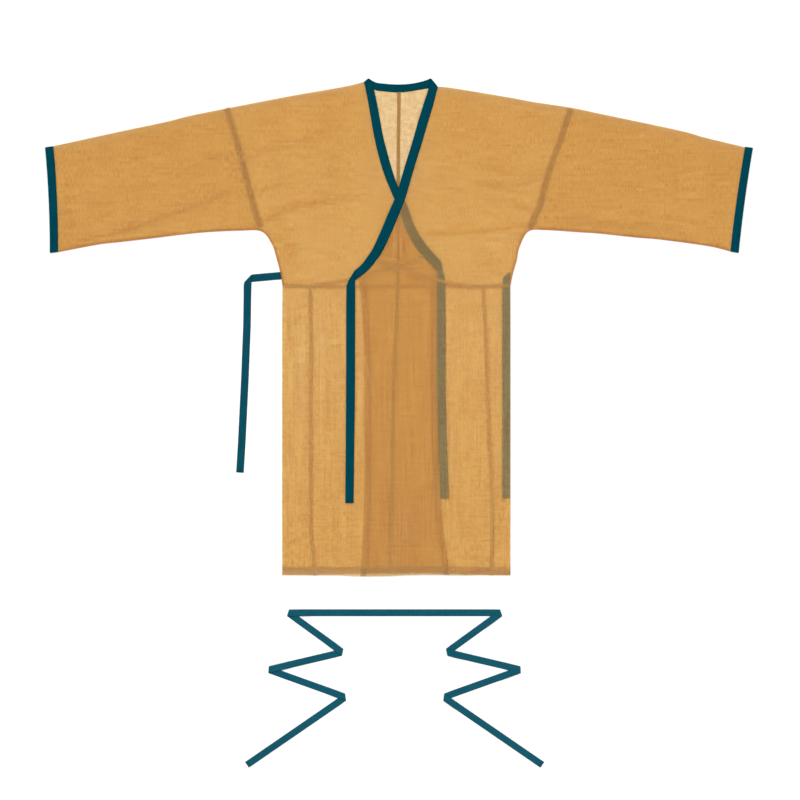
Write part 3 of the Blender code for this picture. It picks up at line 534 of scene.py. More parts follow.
class Sheet:
    """One layer of cloth in rows of points.

    A point is x, y, z, its share of the creases, its added density and, where the cloth there is turned
    or sewn, how far it has the even, pale look of such layers.
    """

    def __init__(self):
        self.points = []
        self.faces = []

    def row(self, points):
        start = len(self.points)
        self.points += points
        return list(range(start, len(self.points)))

    def join(self, row_a, row_b):
        for a, b, c, d in zip(row_a, row_a[1:], row_b[1:], row_b):
            corners = tuple(dict.fromkeys((a, b, c, d)))
            if len(corners) > 2:
                self.faces.append(corners)

    def join_all(self, rows):
        for row, following in zip(rows, rows[1:]):
            self.join(row, following)

    def area(self):
        """The sheet's own area in square metres."""
        table = np.array(self.points)[:, :3]
        total = 0.0
        for size in (3, 4):
            faces = np.array([face for face in self.faces if len(face) == size])
            for i in range(1, size - 1):
                if len(faces):
                    a, b, c = (table[faces[:, k]] for k in (0, i, i + 1))
                    total += np.linalg.norm(np.cross(b - a, c - a), axis=1).sum() / 2
        return float(total) * MM * MM

    def build(self, name, material, tone=((0.0, 0.0, 0.0),), unfold=None, shift=0.0, sewn_lines=()):
        """Adds the creases and makes the object.

        tone is a table of y and the density to add there, in front and on the back. unfold gives the
        cloth's own coordinates where it lies on its own back, and shift moves them, so that no two layers
        have the same threads. sewn_lines are lines along which layers are sewn together, each with how
        far they are denser and browner there.
        """
        table = np.array(self.points, float)
        used = np.unique([index for face in self.faces for index in face])
        renumber = np.zeros(len(table), int)
        renumber[used] = np.arange(len(used))
        table = table[used]
        x, y, z, fade, dense, sewn = table.T
        back = z < CLOTH
        rise, crest_dense_and_shade = np.where(back, back_relief(x, y), front_relief(x, y))
        y = y + hem_shift(x, y, back)
        across, along = (x, y) if unfold is None else np.where(back, (x, y), unfold(x, y))
        uvs = np.stack([across + shift, along + shift], axis=1)
        points = np.stack([x, y, z + rise * fade], axis=1)
        faces = [tuple(int(renumber[index]) for index in face) for face in self.faces]
        heights, fronts, backs = zip(*tone)
        tones = np.where(back, np.interp(y, heights, backs), np.interp(y, heights, fronts))
        brown = np.zeros_like(x)
        for line, brownness in sewn_lines:
            brown = np.maximum(brown, brownness * near_line(x, y, line))
        # The creases' crests add density: partly the cloth bunched there, partly painted shade
        dense = dense + crest_dense_and_shade * fade + tones + SEWN_EDGE * brown
        front = np.where(back, 0.0, 1.0)
        behind_neck = np.where(back, ramp(y, NECK_LOW, NECK_RUN), 0.0)
        behind_neck = behind_neck * (1.0 - ramp(np.abs(x), NECK_HALF, NECK_RUN / 3))
        calmed = 0.0
        if name in COVERED:
            calmed = COVERED_CALM * ramp(x, OUTER_FOOT_X, COVERED_RUN)
        elif name in COVERING:
            calmed = COVERING_CALM * (1.0 - ramp(x, INNER_FOOT_X, COVERED_RUN))
        masks = {"dense": dense - NECK_PALE * behind_neck, "sewn": sewn, "brown": brown,
                 "under": np.where(back, 1.0, calmed), "neck": behind_neck,
                 "fan": front * fan_share(x, y), "ruck": front * ruck_share(x, y)}
        return new_object(name, points, faces, uvs, material, masks)


def hem_shift(x, y, back):
    """How far the cloth near the hem lies above or below its even line."""
    lines = np.where(back, np.interp(x, *zip(*BACK_HEM_LINE)), np.interp(x, *zip(*HEM_LINE)))
    return lines * (1.0 - ramp(y, HEM_Y, HEM_LINE_RUN))


# How even the weave looks on the fronts where they lie on each other, as a share of how even the back is
COVERED = ("bodice_right", "skirt_front_right")
COVERING = ("bodice_left", "skirt_front_left")
COVERED_CALM, COVERING_CALM = 1.25, 0.9
COVERED_RUN = 20.0
OUTER_FOOT_X, INNER_FOOT_X = -84.0, 76.0
PALE_FOLD = -0.06      # a folded edge is sparser, because its layers part there
PALE_REACH = 10.0
FOLD_SEWN = 0.28       # and it is a little paler, as sewn layers are
FOLD_SEWN_REACH = 24.0
SEWN_EDGE = 0.36       # a sewn edge is denser and browner
SEWN_REACH = 6.5
SEWN_POINTS = 4        # a sewn edge is read at each fourth of its points
FADE_REACH = 22.0      # creases die out this near a fold
BAND_REACH = 14.0      # and this near a band


def near_fold(distance):
    return smooth(distance / FADE_REACH), PALE_FOLD * (1.0 - smooth(distance / PALE_REACH))


def near_line(x, y, line):
    """1 on a line of points, falling to 0 at SEWN_REACH from it."""
    away = np.full_like(x, SEWN_REACH)
    for start, end in zip(line, line[1:]):
        share, off_x, off_y, *run = to_part(x, y, start, end)
        away = np.minimum(away, np.hypot(off_x, off_y))
    return 1.0 - ramp(away, 0.0, SEWN_REACH)


def near_band(distance):
    return smooth((distance - 2 * TUCK) / BAND_REACH), 0.0


def fold_points(centre, out, rest, dense, upwards=True):
    """The middle of a fold between the back layer and a front layer that rests at rest."""
    radius, middle = rest / 2.0, (rest + CLOTH) / 2.0
    look = FOLD_SEWN if upwards else 0.0
    points = []
    for angle in FOLD_ANGLES if upwards else FOLD_ANGLES[::-1]:
        across, up = direction(angle)
        points.append((*offset(centre, out, radius * across), middle + radius * up, 0.0, dense, look))
    return points


def cloth_line(low, top, rows, level, sewn=True, folded=True, even=0.0):
    """Points from low to top on one layer. Its creases die out at a seam, a fold or a band.

    even is how far the cloth up at the neck has the sewn layers' look.
    """
    length = math.dist(low, top)
    points = []
    for i in range(rows + 1):
        share = i / rows
        point = mix(low, top, share)
        from_top = length * (1.0 - share)
        calm, sparse = near_fold(from_top) if folded else near_band(from_top)
        if sewn:
            calm *= smooth(length * share / FADE_REACH)
        look = even * smooth((point[1] - NECK_LOW) / NECK_RUN)
        if folded:
            look += FOLD_SEWN * (1.0 - smooth(from_top / FOLD_SEWN_REACH))
        points.append((*point, level(*point) + CLOTH / 2, calm, sparse, look))
    return points


def over_the_fold(head, rest, rows, foot=None, lows=()):
    """Points up the back layer, round the fold at head and down the front layer.

    They go on round the seam at foot, or else the layers begin and end at the two points of lows.
    """
    top, out = head
    top_rest = rest(*top)
    top = offset(top, out, -top_rest / 2)
    if foot:
        low, low_out = foot
        low_rest = rest(*low)
        lows = (offset(low, low_out, -low_rest / 2),) * 2
    points = cloth_line(lows[0], top, rows, floor_level, sewn=bool(foot))
    points += fold_points(top, out, top_rest, PALE_FOLD)
    points += cloth_line(lows[1], top, rows, rest, sewn=bool(foot))[::-1]
    if foot:
        points += fold_points(lows[1], low_out, low_rest, 0.0, upwards=False)
    return points


def shifted(station, neighbour, distance):
    """A station moved along its edge, towards its neighbour if distance is above zero."""
    point, out = station
    along = unit(neighbour[0][0] - point[0], neighbour[0][1] - point[1])
    return (offset(point, along, distance), out)


def side_edges(side):
    data = SIDES[side]
    right = side == "right"
    return Edge(data["shoulder"], outward_left=right), Edge(data["under"], outward_left=not right)


# --- Panels

PANEL_SHIFT = {"right": 0.0, "left": 613.0}    # between the threads of the two halves
SKIRT_FRONT_SHIFT = 287.0
SHOULDER_Y = 700.0


def over_the_shoulder(x, y):
    """The cloth's coordinates on the front of a sleeve or a body, folded over at the shoulder."""
    return x, 2.0 * SHOULDER_Y - y


def round_the_side(edge_x):
    return lambda x, y: (2.0 * edge_x - x, y)


def finished_panel(name, lines, *looks):
    """The panel through lines of points, and its area."""
    sheet = Sheet()
    sheet.join_all([sheet.row(points) for points in lines])
    return sheet.build(name, *looks), sheet.area()


def band_rows(side):
    """The rows of a front's collar band, smooth, from the collar corner down."""
    if side == "right":
        return smooth_rows(INNER_BAND, BAND_STEPS)[::-1]
    return smooth_rows(OUTER_BAND, BAND_STEPS)


# How much denser than plain cloth each panel looks, as y, the front's density and the back's
TONES = {
    "sleeve": [(350, 0.05, 0.05), (430, 0.035, 0.04), (500, 0.055, 0.055), (570, 0.06, 0.06),
               (660, 0.07, 0.07)],
    "bodice": [(289, -0.06, -0.06), (380, -0.05, -0.06), (450, -0.03, -0.04), (540, -0.01, -0.02),
               (600, 0.02, 0.01), (720, 0.03, 0.02)],
    "skirt": [(-320, 0.02, -0.045), (-200, 0.005, -0.055), (0, -0.02, -0.09), (150, -0.035, -0.115),
              (289, -0.035, -0.115)],
}


def sleeve(side, material):
    """A flat tube from inside the cuff band to the seam on the upper arm, folded along its top."""
    data = SIDES[side]
    shoulder, under = side_edges(side)
    heads = shoulder.divide(0, data["shoulder_seam"], SLEEVE_STATIONS)
    feet = under.divide(0, data["under_seam"], SLEEVE_STATIONS)
    for line in (heads, feet):
        line.insert(0, shifted(line[0], line[1], -TUCK))
    sheet = Sheet()
    rings = []
    for head, foot in zip(heads, feet):
        ring = sheet.row(over_the_fold(head, inner_rest, SLEEVE_ROWS, foot))
        rings.append(ring + ring[:1])
    sheet.join_all(rings)
    item = sheet.build("sleeve_" + side, material, TONES["sleeve"], over_the_shoulder,
                       PANEL_SHIFT[side], [(under.points[::SEWN_POINTS], 1.0)])
    return item, sheet.area()


NECK_EVEN = 0.22       # the back behind the neck is evener and paler
NECK_PALE = 0.05
NECK_LOW = 440.0
NECK_RUN = 60.0
NECK_HALF = 58.0


def neck_heads(rows):
    """Points of a band's seam edge that its panel is sewn to, and the directions towards the band."""
    return [((seam_x, seam_y), unit(free_x - seam_x, free_y - seam_y))
            for seam_x, seam_y, free_x, free_y in rows]


def bodice(side, material):
    """Half the back and one front in one piece, folded at the shoulder and sewn up the side."""
    data = SIDES[side]
    rest = REST[side]
    shoulder, under = side_edges(side)
    waist_front = data["waist"]
    corner = len(data["shoulder"]) - 1
    heads = shoulder.divide(data["shoulder_seam"], corner, SHARED_COLUMNS)
    feet = under.divide(data["under_seam"], len(data["under"]) - 1, UNDERARM_COLUMNS)
    sheet = Sheet()

    columns = []
    corner_x, last_x = data["under"][-1][0], data["last_foot"]
    for number, head in enumerate(heads):
        if number <= UNDERARM_COLUMNS:
            ring = sheet.row(over_the_fold(head, rest, BODICE_ROWS, feet[number]))
            columns.append(ring + ring[:1])
        else:
            share = (number - UNDERARM_COLUMNS) / (SHARED_COLUMNS - UNDERARM_COLUMNS)
            x = corner_x + (last_x - corner_x) * share
            lows = (x, BACK_WAIST(x)), (x, waist_front(x))
            columns.append(sheet.row(over_the_fold(head, rest, BODICE_ROWS, lows=lows)))
    for column, following in zip(columns, columns[1:]):
        both = min(len(column), len(following))
        sheet.join(column[:both], following[:both])

    def go_across(first_row, band, end_x, waist, level, even=0.0, way=1):
        """Lines up from the waist to a band. Their points run down again if way is -1."""
        rows = [first_row]
        for number, (head, out) in enumerate(neck_heads(band), start=1):
            x = last_x + (end_x - last_x) * number / len(band)
            low, top = (x, waist(x)), offset(head, out, TUCK)
            line = cloth_line(low, top, BODICE_ROWS, level, sewn=False, folded=False, even=even)
            rows.append(sheet.row(line[::way]))
        sheet.join_all(rows)

    # Across the back, from under the collar corner to the centre-back seam
    neck = smooth_rows(BACK_BAND, BAND_STEPS)
    middle = (len(neck) - 1) // 2
    part = neck[1:middle + 1] if side == "right" else neck[middle:-1][::-1]
    go_across(columns[-1][:BODICE_ROWS + 1], part, CENTRE_BACK(WAIST_Y), BACK_WAIST, floor_level, NECK_EVEN)

    # Across the front, from the collar corner down along the band to the waist
    band = band_rows(side)[1:BAND_TIP * BAND_STEPS + 1]
    start = BODICE_ROWS + 1 + len(FOLD_ANGLES)
    go_across(columns[-1][start:start + BODICE_ROWS + 1], band, band[-1][0], waist_front, rest, way=-1)
    item = sheet.build("bodice_" + side, material, TONES["bodice"], over_the_shoulder,
                       PANEL_SHIFT[side], [(under.points[::SEWN_POINTS], 1.0)])
    return item, sheet.area()


# The hem: how far the cloth over what is turned in has the sewn look, where the look begins, and where
# the very edge is sparser and the creases die out
HEM_UNDER = 0.30
HEM_BREAK = 0.4
HEM_PALE_FOLD, HEM_PALE = -0.20, 5.0
HEM_CALM = 60.0
HEM_FADE = -0.16
# Each panel's hem: the density on the cloth and on what is turned in, and how far it has the sewn look
HEMS = {
    "skirt_back_right": (0.10, 0.02, 1.0),
    "skirt_back_left": (0.12, 0.42, 0.45),
    "skirt_front_right": (0.04, -0.14, 1.0),
    "skirt_front_left": (0.10, -0.26, 0.6),
}
HEM_MIDDLE = (-81.0, 107.0)    # where all three hems lie on each other, each looks sparser
HEM_MIDDLE_PALE = 0.15
HEM_BROWN_LINE = [(114.0, -312.0), (236.0, -312.0)]    # the left hem is browner past the inner front
HEM_BROWN = 0.60
# How far the hems' line lies above or below HEM_Y, as (x, y), and over what height the cloth follows it
HEM_LINE = [(-243, 0.6), (-125, -0.1), (-95, -2.0), (-20, -1.4), (15, 0.6), (60, 1.4), (120, 0.6),
            (234, 0.5)]
BACK_HEM_LINE = [(-243, 0.6), (-125, 1.2), (-40, 4.4), (60, 4.6), (150, 1.2), (234, 0.2)]
HEM_LINE_RUN = 80.0
TURNED_DENSE = (0.0, -0.26, -0.56)    # on the cloth, on what is turned in, and on what is turned again
EDGE_DENSE = (0.0, -0.04, 0.60)       # the same along a free edge
EDGE_SEWN = 0.2
EDGE_BROWN = 0.24
EDGE_BROWN_AT = (0.0, 9.6)     # a free edge is browner at these distances from it
EDGE_LINE_STEPS = 12
EDGE_LINE, EDGE_LINE_SHARE = 0.56, 0.25    # its very edge is denser, over this share of its turn
TO_HEM = (1.0, 0.75, 0.5, 0.25, 0.1, 0.0)
TURNED = (0.0, 0.1, 0.35, 0.6, 0.85, 1.0)
TURNED_AGAIN = (0.0, 0.5, 1.0)


def skirt_marks(top, twice):
    """Down a line of the skirt and round its hem, turned once or twice: y and the turned layer."""
    above = HEM_Y + HEM_DEEP + 2 * HEM_BREAK
    marks = [(top + (above - top) * i / SKIRT_ROWS, 0.0) for i in range(SKIRT_ROWS + 1)]
    marks += [(HEM_Y + HEM_DEEP * share, 0.0) for share in TO_HEM]
    marks += [(HEM_Y + HEM_DEEP * share, 1.0) for share in TURNED]
    if twice:
        marks += [(HEM_Y + HEM_DEEP - SECOND_TURN * share, 2.0) for share in TURNED_AGAIN]
    return marks


def hem_shares(x, y, turned, name):
    """The shares of the creases, the density and the sewn look near the hem, or on what is turned in."""
    above = y - HEM_Y
    on_cloth, on_turned, look = HEMS[name]
    dense = HEM_PALE_FOLD * (1.0 - smooth(above / HEM_PALE)) + TURNED_DENSE[int(turned)]
    over_turned = above < HEM_DEEP + HEM_BREAK
    if over_turned:
        dense += on_cloth - (HEM_MIDDLE_PALE if HEM_MIDDLE[0] < x < HEM_MIDDLE[1] else 0.0)
    if turned:
        dense += on_turned + HEM_FADE * (1.0 - smooth(above / HEM_DEEP))
    elif not over_turned:
        look = 0.0
    else:
        look *= HEM_UNDER
    return smooth(above / HEM_CALM), dense, look


def between(start, end, share):
    """The line that lies this share of the way from one line down the skirt to another."""
    return lambda y: start(y) + (end(y) - start(y)) * share


def skirt_back(side, material):
    """Half the back of the skirt, wrapped round the side to the seam on the front."""
    data, rest, name = SIDES[side], REST[side], "skirt_back_" + side
    edge, inward = data["side"], data["inward"]
    lines = []

    def fold_x(y):
        return edge(y) + inward * rest(edge(y), y) / 2

    def add(waist, x_at, level_at, way):
        """A line down one layer. What is turned in lies above it if way is 1, and below if it is -1."""
        points = []
        for y, turned in skirt_marks(waist(x_at(WAIST_Y)), True):
            x = x_at(y)
            calm, pale, sewn = hem_shares(x, y, turned, name)
            fold, sparse = near_fold(abs(x - edge(y)))
            level = level_at(x, y) + CLOTH / 2 + way * TURN_APART * turned
            points.append((x, y, level, calm * fold, pale + sparse / 2, sewn))
        lines.append(points)

    for column in range(SKIRT_BACK_COLUMNS + 1):
        add(BACK_WAIST, between(CENTRE_BACK, fold_x, column / SKIRT_BACK_COLUMNS), floor_level, 1)
    for angle in FOLD_ANGLES:
        across, up = direction(angle)
        points = []
        for y, turned in skirt_marks(BACK_WAIST(edge(WAIST_Y)), True):
            side_rest = rest(edge(y), y)
            radius = side_rest / 2 - TURN_APART * turned
            z = (side_rest + CLOTH) / 2 + radius * up
            points.append((fold_x(y) - inward * radius * across, y, z, 0.0, PALE_FOLD / 2, 0.0))
        lines.append(points)
    for column in range(SKIRT_WRAP_COLUMNS + 1):
        waist = data["waist"] if column else BACK_WAIST
        add(waist, between(fold_x, data["seam"], column / SKIRT_WRAP_COLUMNS), rest, -1)
    return finished_panel(name, lines, material, TONES["skirt"], round_the_side(edge(WAIST_Y)),
                          PANEL_SHIFT[side], [(HEM_BROWN_LINE, HEM_BROWN)] if side == "left" else [])


def skirt_tops(side):
    """The top of a skirt front from its side seam to its free edge: along the waist, then the band."""
    waist, seam_x = SIDES[side]["waist"], SIDES[side]["seam"](WAIST_Y)
    band = band_rows(side)[BAND_TIP * BAND_STEPS:]
    tops = []
    for column in range(SKIRT_FRONT_COLUMNS):
        x = seam_x + (band[0][0] - seam_x) * column / SKIRT_FRONT_COLUMNS
        tops.append((x, waist(x)))
    return tops + [offset(head, out, TUCK) for head, out in neck_heads(band)]


def skirt_front(side, material):
    """One front of the skirt, from its side seam to its free edge, which is turned under twice."""
    data, rest, name = SIDES[side], REST[side], "skirt_front_" + side
    seam, edge, inward = data["seam"], data["free"], data["inward"]
    tops = skirt_tops(side)
    seam_x, free_x, last_y = tops[0][0], tops[-1][0], tops[-1][1]
    lines = []

    def inside(distance):
        return lambda y: edge(y) - inward * distance

    def add(top_y, x_at, turned_in, line=0.0):
        points = []
        for y, turned in skirt_marks(top_y, False):
            x = x_at(y)
            calm, pale, sewn = hem_shares(x, y, max(turned, turned_in), name)
            if turned_in and not turned and y > HEM_Y + HEM_DEEP:
                pale, sewn = EDGE_DENSE[int(turned_in)] + line, EDGE_SEWN
            level = rest(x, y) + CLOTH / 2 - TURN_APART * (turned + turned_in)
            points.append((x, y, level, calm, pale, sewn))
        lines.append(points)

    for top_x, top_y in tops:
        add(top_y, between(seam, edge, (top_x - seam_x) / (free_x - seam_x)), 0.0)
    for share in TURNED:
        add(last_y, inside(EDGE_FOLD * share), 1.0, EDGE_LINE * (1.0 - smooth(share / EDGE_LINE_SHARE)))
    for share in TURNED_AGAIN:
        add(last_y, inside(EDGE_FOLD - EDGE_SECOND_TURN * share), 2.0)
    brown_lines = [(curve_points(inside(distance), WAIST_Y, HEM_Y + HEM_DEEP, EDGE_LINE_STEPS), EDGE_BROWN)
                   for distance in EDGE_BROWN_AT]
    if side == "left":
        brown_lines.append((HEM_BROWN_LINE, HEM_BROWN))
    return finished_panel(name, lines, material, TONES["skirt"], None,
                          SKIRT_FRONT_SHIFT + PANEL_SHIFT[side], brown_lines)


# --- Bands and tapes

ROUNDING = 6.0         # how square a band's edges are: 2 is an ellipse


def back_pair(point, wall):
    return ((point[0], point[1], 0.0), (point[0], point[1], wall))


def front_pair(point, rest, wall):
    return ((point[0], point[1], rest + wall), (point[0], point[1], rest))


def fold_pairs(centre, out, rest, wall, upwards=True):
    """The outer and inner points of a fold between the back layer and a layer that rests at rest."""
    outer_r, inner_r = (rest + wall) / 2.0, (rest - wall) / 2.0
    pairs = []
    for angle in FOLD_ANGLES if upwards else FOLD_ANGLES[::-1]:
        across, up = direction(angle)
        outer = offset(centre, out, outer_r * across) + (outer_r * (1.0 + up),)
        inner = offset(centre, out, inner_r * across) + ((rest + wall) / 2.0 + inner_r * up,)
        pairs.append((outer, inner))
    return pairs


def ends(row):
    """The two edges' points of a row of a band's table."""
    return row[:2], row[2:]


class Tape:
    """A flat band with rounded edges. A row is the pairs of outer and inner points at its two edges."""

    def __init__(self):
        self.rows = []

    def row(self, left, right):
        self.rows.append((left, right))

    def build(self, name, material, closed=False):
        rows = np.array(self.rows, float)
        left, right = rows[:, 0], rows[:, 1]
        shares = np.linspace(0.0, 1.0, TAPE_COLUMNS + 1)
        full = (1.0 - np.abs(2 * shares - 1.0) ** ROUNDING) ** (1.0 / ROUNDING)
        middle_l, middle_r = left.mean(axis=1), right.mean(axis=1)
        half_l, half_r = (left[:, 0] - left[:, 1]) / 2, (right[:, 0] - right[:, 1]) / 2
        along = np.linalg.norm(np.diff((middle_l + middle_r) / 2, axis=0), axis=1)
        run = np.concatenate([[0.0], np.cumsum(along)])
        width = np.linalg.norm(middle_r - middle_l, axis=1)
        ring = [(share, bulge) for share, bulge in zip(shares, full)]
        ring += [(share, -bulge) for share, bulge in list(zip(shares, full))[-2:0:-1]]
        points, uvs, faces = [], [], []
        for i in range(len(rows)):
            for share, bulge in ring:
                middle = middle_l[i] + (middle_r[i] - middle_l[i]) * share
                half = half_l[i] + (half_r[i] - half_l[i]) * share
                points.append(middle + half * bulge)
                uvs.append((width[i] * share, run[i]))
        size = len(ring)
        count = len(rows)
        for i in range(count if closed else count - 1):
            a, b = i * size, (i + 1) % count * size
            for k in range(size):
                following = (k + 1) % size
                faces.append((a + k, a + following, b + following, b + k))
        if not closed:
            faces.append(tuple(range(size))[::-1])
            faces.append(tuple((count - 1) * size + k for k in range(size)))
        return new_object(name, points, faces, uvs, material)


def cuff_band(side, material):
    """The binding round the sleeve opening."""
    data = SIDES[side]["cuff"]
    down = unit(data["outer"][1][0] - data["outer"][0][0], data["outer"][1][1] - data["outer"][0][1])
    up = (-down[0], -down[1])
    radius = (BAND_REST + BAND) / 2.0
    inward = unit(data["inner"][0][0] - data["outer"][0][0], 0.0)
    rings = []
    for end in ("outer", "inner"):
        head, foot = data[end]
        top, low = offset(head, up, -radius), offset(foot, down, -radius)
        shares = [i / CUFF_ROWS for i in range(CUFF_ROWS + 1)]
        line = [offset(mix(low, top, share), inward, data["bow"] * 4.0 * share * (1.0 - share))
                for share in shares]
        ring = [back_pair(point, BAND) for point in line]
        ring += fold_pairs(top, up, BAND_REST, BAND)
        ring += [front_pair(point, BAND_REST, BAND) for point in reversed(line)]
        ring += fold_pairs(low, down, BAND_REST, BAND, upwards=False)
        rings.append(ring)
    tape = Tape()
    for outer, inner in zip(*rings):
        tape.row(outer, inner)
    return tape.build("cuff_binding_" + side, material, closed=True)


def collar(material):
    """One band from the inner front, over the back of the neck, to the outer front."""
    tape = Tape()

    def fronts(table, rest_at):
        for row in table:
            tape.row(*[front_pair(end, rest_at(*end), BAND) for end in ends(row)])

    def folded(row, upwards):
        seam, free = ends(row)
        along = unit(free[0] - seam[0], free[1] - seam[1])
        out = (-along[1], along[0]) if along[0] > 0 else (along[1], -along[0])
        radius = (BAND_REST + BAND) / 2.0
        seam = offset(offset(seam, along, CORNER_INSET), out, -radius)
        free = offset(free, out, -radius)
        arcs = [fold_pairs(end, out, BAND_REST, BAND, upwards) for end in (seam, free)]
        back = [back_pair(end, BAND) for end in (seam, free)]
        front = [front_pair(end, BAND_REST, BAND) for end in (seam, free)]
        first, last = (back, front) if upwards else (front, back)
        for pairs in (first, *zip(*arcs), last):
            tape.row(*pairs)

    def outer_level(x, y):
        return max(BAND_REST, outer_rest(x, y))

    def inner_level(x, y):
        return BAND_REST

    fronts(smooth_rows(INNER_BAND, BAND_STEPS)[:-1], inner_level)
    folded(INNER_BAND[-1], upwards=False)
    for row in smooth_rows(BACK_BAND, BAND_STEPS)[1:-1]:
        tape.row(*[back_pair(end, BAND) for end in ends(row)])
    folded(OUTER_BAND[0], upwards=True)
    fronts(smooth_rows(OUTER_BAND, BAND_STEPS)[1:], outer_level)
    return tape.build("collar_binding", material)


def flat_tie(name, table, rest, material):
    """A tie that lies flat on the layer under it."""
    rows = []
    for row, following in zip(table, table[1:]):
        steps = max(1, round(math.dist(row[:2], following[:2]) / TAPE_STEP))
        rows += [mix(row, following, step / steps) for step in range(steps)]
    tape = Tape()
    for row in [*rows, table[-1]]:
        tape.row(*[front_pair(end, rest, TIE) for end in ends(row)])
    return tape.build(name, material)


def folded_strip(name, path, folds, width, material):
    """A strip on the surface. At each point number in folds it turns over and runs back on itself."""
    half = width / 2.0
    rest = TIE + GAP
    radius = (rest + TIE) / 2.0
    runs = [unit(end[0] - start[0], end[1] - start[1]) for start, end in zip(path, path[1:])]
    tape = Tape()
    side = 1.0

    def add(pairs):
        tape.row(*(pairs if side > 0.0 else [(inner, outer) for outer, inner in pairs]))

    def across(ends, low):
        add([((x, y, low), (x, y, low + TIE)) for x, y in ends])

    def half_corner(number):
        before, after = runs[number - 1], runs[number]
        return math.acos(-before[0] * after[0] - before[1] * after[1]) / 2.0

    for number, run in enumerate(runs):
        start, end = path[number], path[number + 1]
        left = (-run[1] * side, run[0] * side)
        length = math.dist(start, end)
        marks = []
        if number == 0:
            marks.append((0.0, 0.0))
        elif number in folds:
            angle = half_corner(number)
            clear = half / math.tan(angle) + half * math.cos(angle) + FOLD_CLEAR
            marks += [(clear, rest), (clear + FOLD_RUN, 0.0)]
        else:
            marks.append((TAPE_STEP / 2, 0.0))
        if number + 1 in folds:
            length -= half / math.tan(half_corner(number + 1)) + FOLD_SHORT
        marks.append((length, 0.0))
        rows = [marks[0]]
        for mark, following in zip(marks, marks[1:]):
            steps = max(1, round((following[0] - mark[0]) / TAPE_STEP))
            for step in range(1, steps + 1):
                share = step / steps
                distance = mark[0] + (following[0] - mark[0]) * share
                rows.append((distance, mark[1] + (following[1] - mark[1]) * smooth(share)))
        for distance, low in rows:
            point = offset(start, run, distance)
            across([offset(point, left, half), offset(point, left, -half)], low)
        if number + 1 in folds:
            after = runs[number + 1]
            along = unit(run[0] + after[0], run[1] + after[1])
            out = unit(run[0] - after[0], run[1] - after[1])
            reach = half / abs(run[0] * along[1] - run[1] * along[0])
            if along[0] * left[0] + along[1] * left[1] < 0.0:
                along = (-along[0], -along[1])
            centre = offset(end, out, -radius)
            ends = (offset(centre, along, reach), offset(centre, along, -reach))
            across(ends, 0.0)
            for pairs in zip(*(fold_pairs(point, out, rest, TIE) for point in ends)):
                add(pairs)
            side = -side
            across(ends, rest)
    return tape.build(name, material)


def belt(material):
    other = [(2 * BELT_MIDDLE - x, y) for x, y in reversed(BELT_HALF)]
    path = BELT_HALF + other
    return folded_strip("belt", path, range(1, len(path) - 1), BELT_WIDTH, material)


# --- Seams

SEAM_SMOOTH = 12       # rows between two points of a seam's line
WAIST_SEAM_STEPS, SKIRT_SEAM_STEPS, CENTRE_SEAM_STEPS = 24, 20, 30
CENTRE_SEAM_TOP = 700.0
# Across a seam, from the side that shows darker: place as a share of the width, added density
SEAM_PROFILE = [(-0.5, -0.10), (-0.42, 0.06), (-0.1, 0.06), (0.2, -0.02), (0.4, -0.12), (0.5, -0.26)]
CENTRE_PROFILE = [(-0.5, -0.34), (-0.42, -0.22), (0.0, -0.20), (0.1, 0.06), (0.42, 0.10), (0.5, -0.10)]


def along_line(points):
    """The points of a line and the directions to its left, in even steps."""
    fine = smooth_rows(points, SEAM_SMOOTH)
    out = []
    for i, share in even_steps(fine):
        run = unit(fine[i + 1][0] - fine[i][0], fine[i + 1][1] - fine[i][1])
        out.append((mix(fine[i], fine[i + 1], share), (-run[1], run[0])))
    return out


def seam(name, parts, material, width=SEAM_WIDTH, extra=SEAM_DENSE, profile=SEAM_PROFILE, look=1.0,
         brownness=SEAM_BROWN):
    """The allowances pressed inside one or more layers. A part is its line, height and shift left."""
    sheet = Sheet()
    for points, level, shift in parts:
        rows = []
        for point, left in along_line(points):
            row = []
            for place_across, dense in profile:
                x, y = offset(point, left, place_across * width + shift)
                row.append((x, y, level(x, y), 1.0, dense + extra, look))
            rows.append(sheet.row(row))
        sheet.join_all(rows)
    line = [point for point, left in along_line(parts[-1][0])]
    return sheet.build(name, material, sewn_lines=[(line, brownness)])


def inside(rest, way):
    """The level of an allowance above (1) or below (-1) the layer that rests at rest."""
    return lambda x, y: rest(x, y) + CLOTH / 2 + way * SEAM_APART


def curve_points(curve, start, end, count, down=True):
    """Points of a table's curve, which gives x for each y if down, and y for each x if not."""
    keys = [start + (end - start) * i / count for i in range(count + 1)]
    return [(curve(key), key) if down else (key, curve(key)) for key in keys]


# The seams between sleeve and body, from the shoulder fold to the underarm
SLEEVE_SEAMS = {
    "right": [(-361, 661), (-349, 624), (-338, 586), (-326, 542), (-313, 491), (-301, 446), (-289.5, 411)],
    "left": [(362, 660), (350, 624), (337, 586), (323, 548), (310, 508), (299, 463), (286, 433),
             (276, 411)],
}
SLEEVE_SEAM_SHIFT = 2.2    # the front's seam lies this far off the back's
SKIRT_SEAM_SHIFT = {"right": -1.5, "left": 0.5}


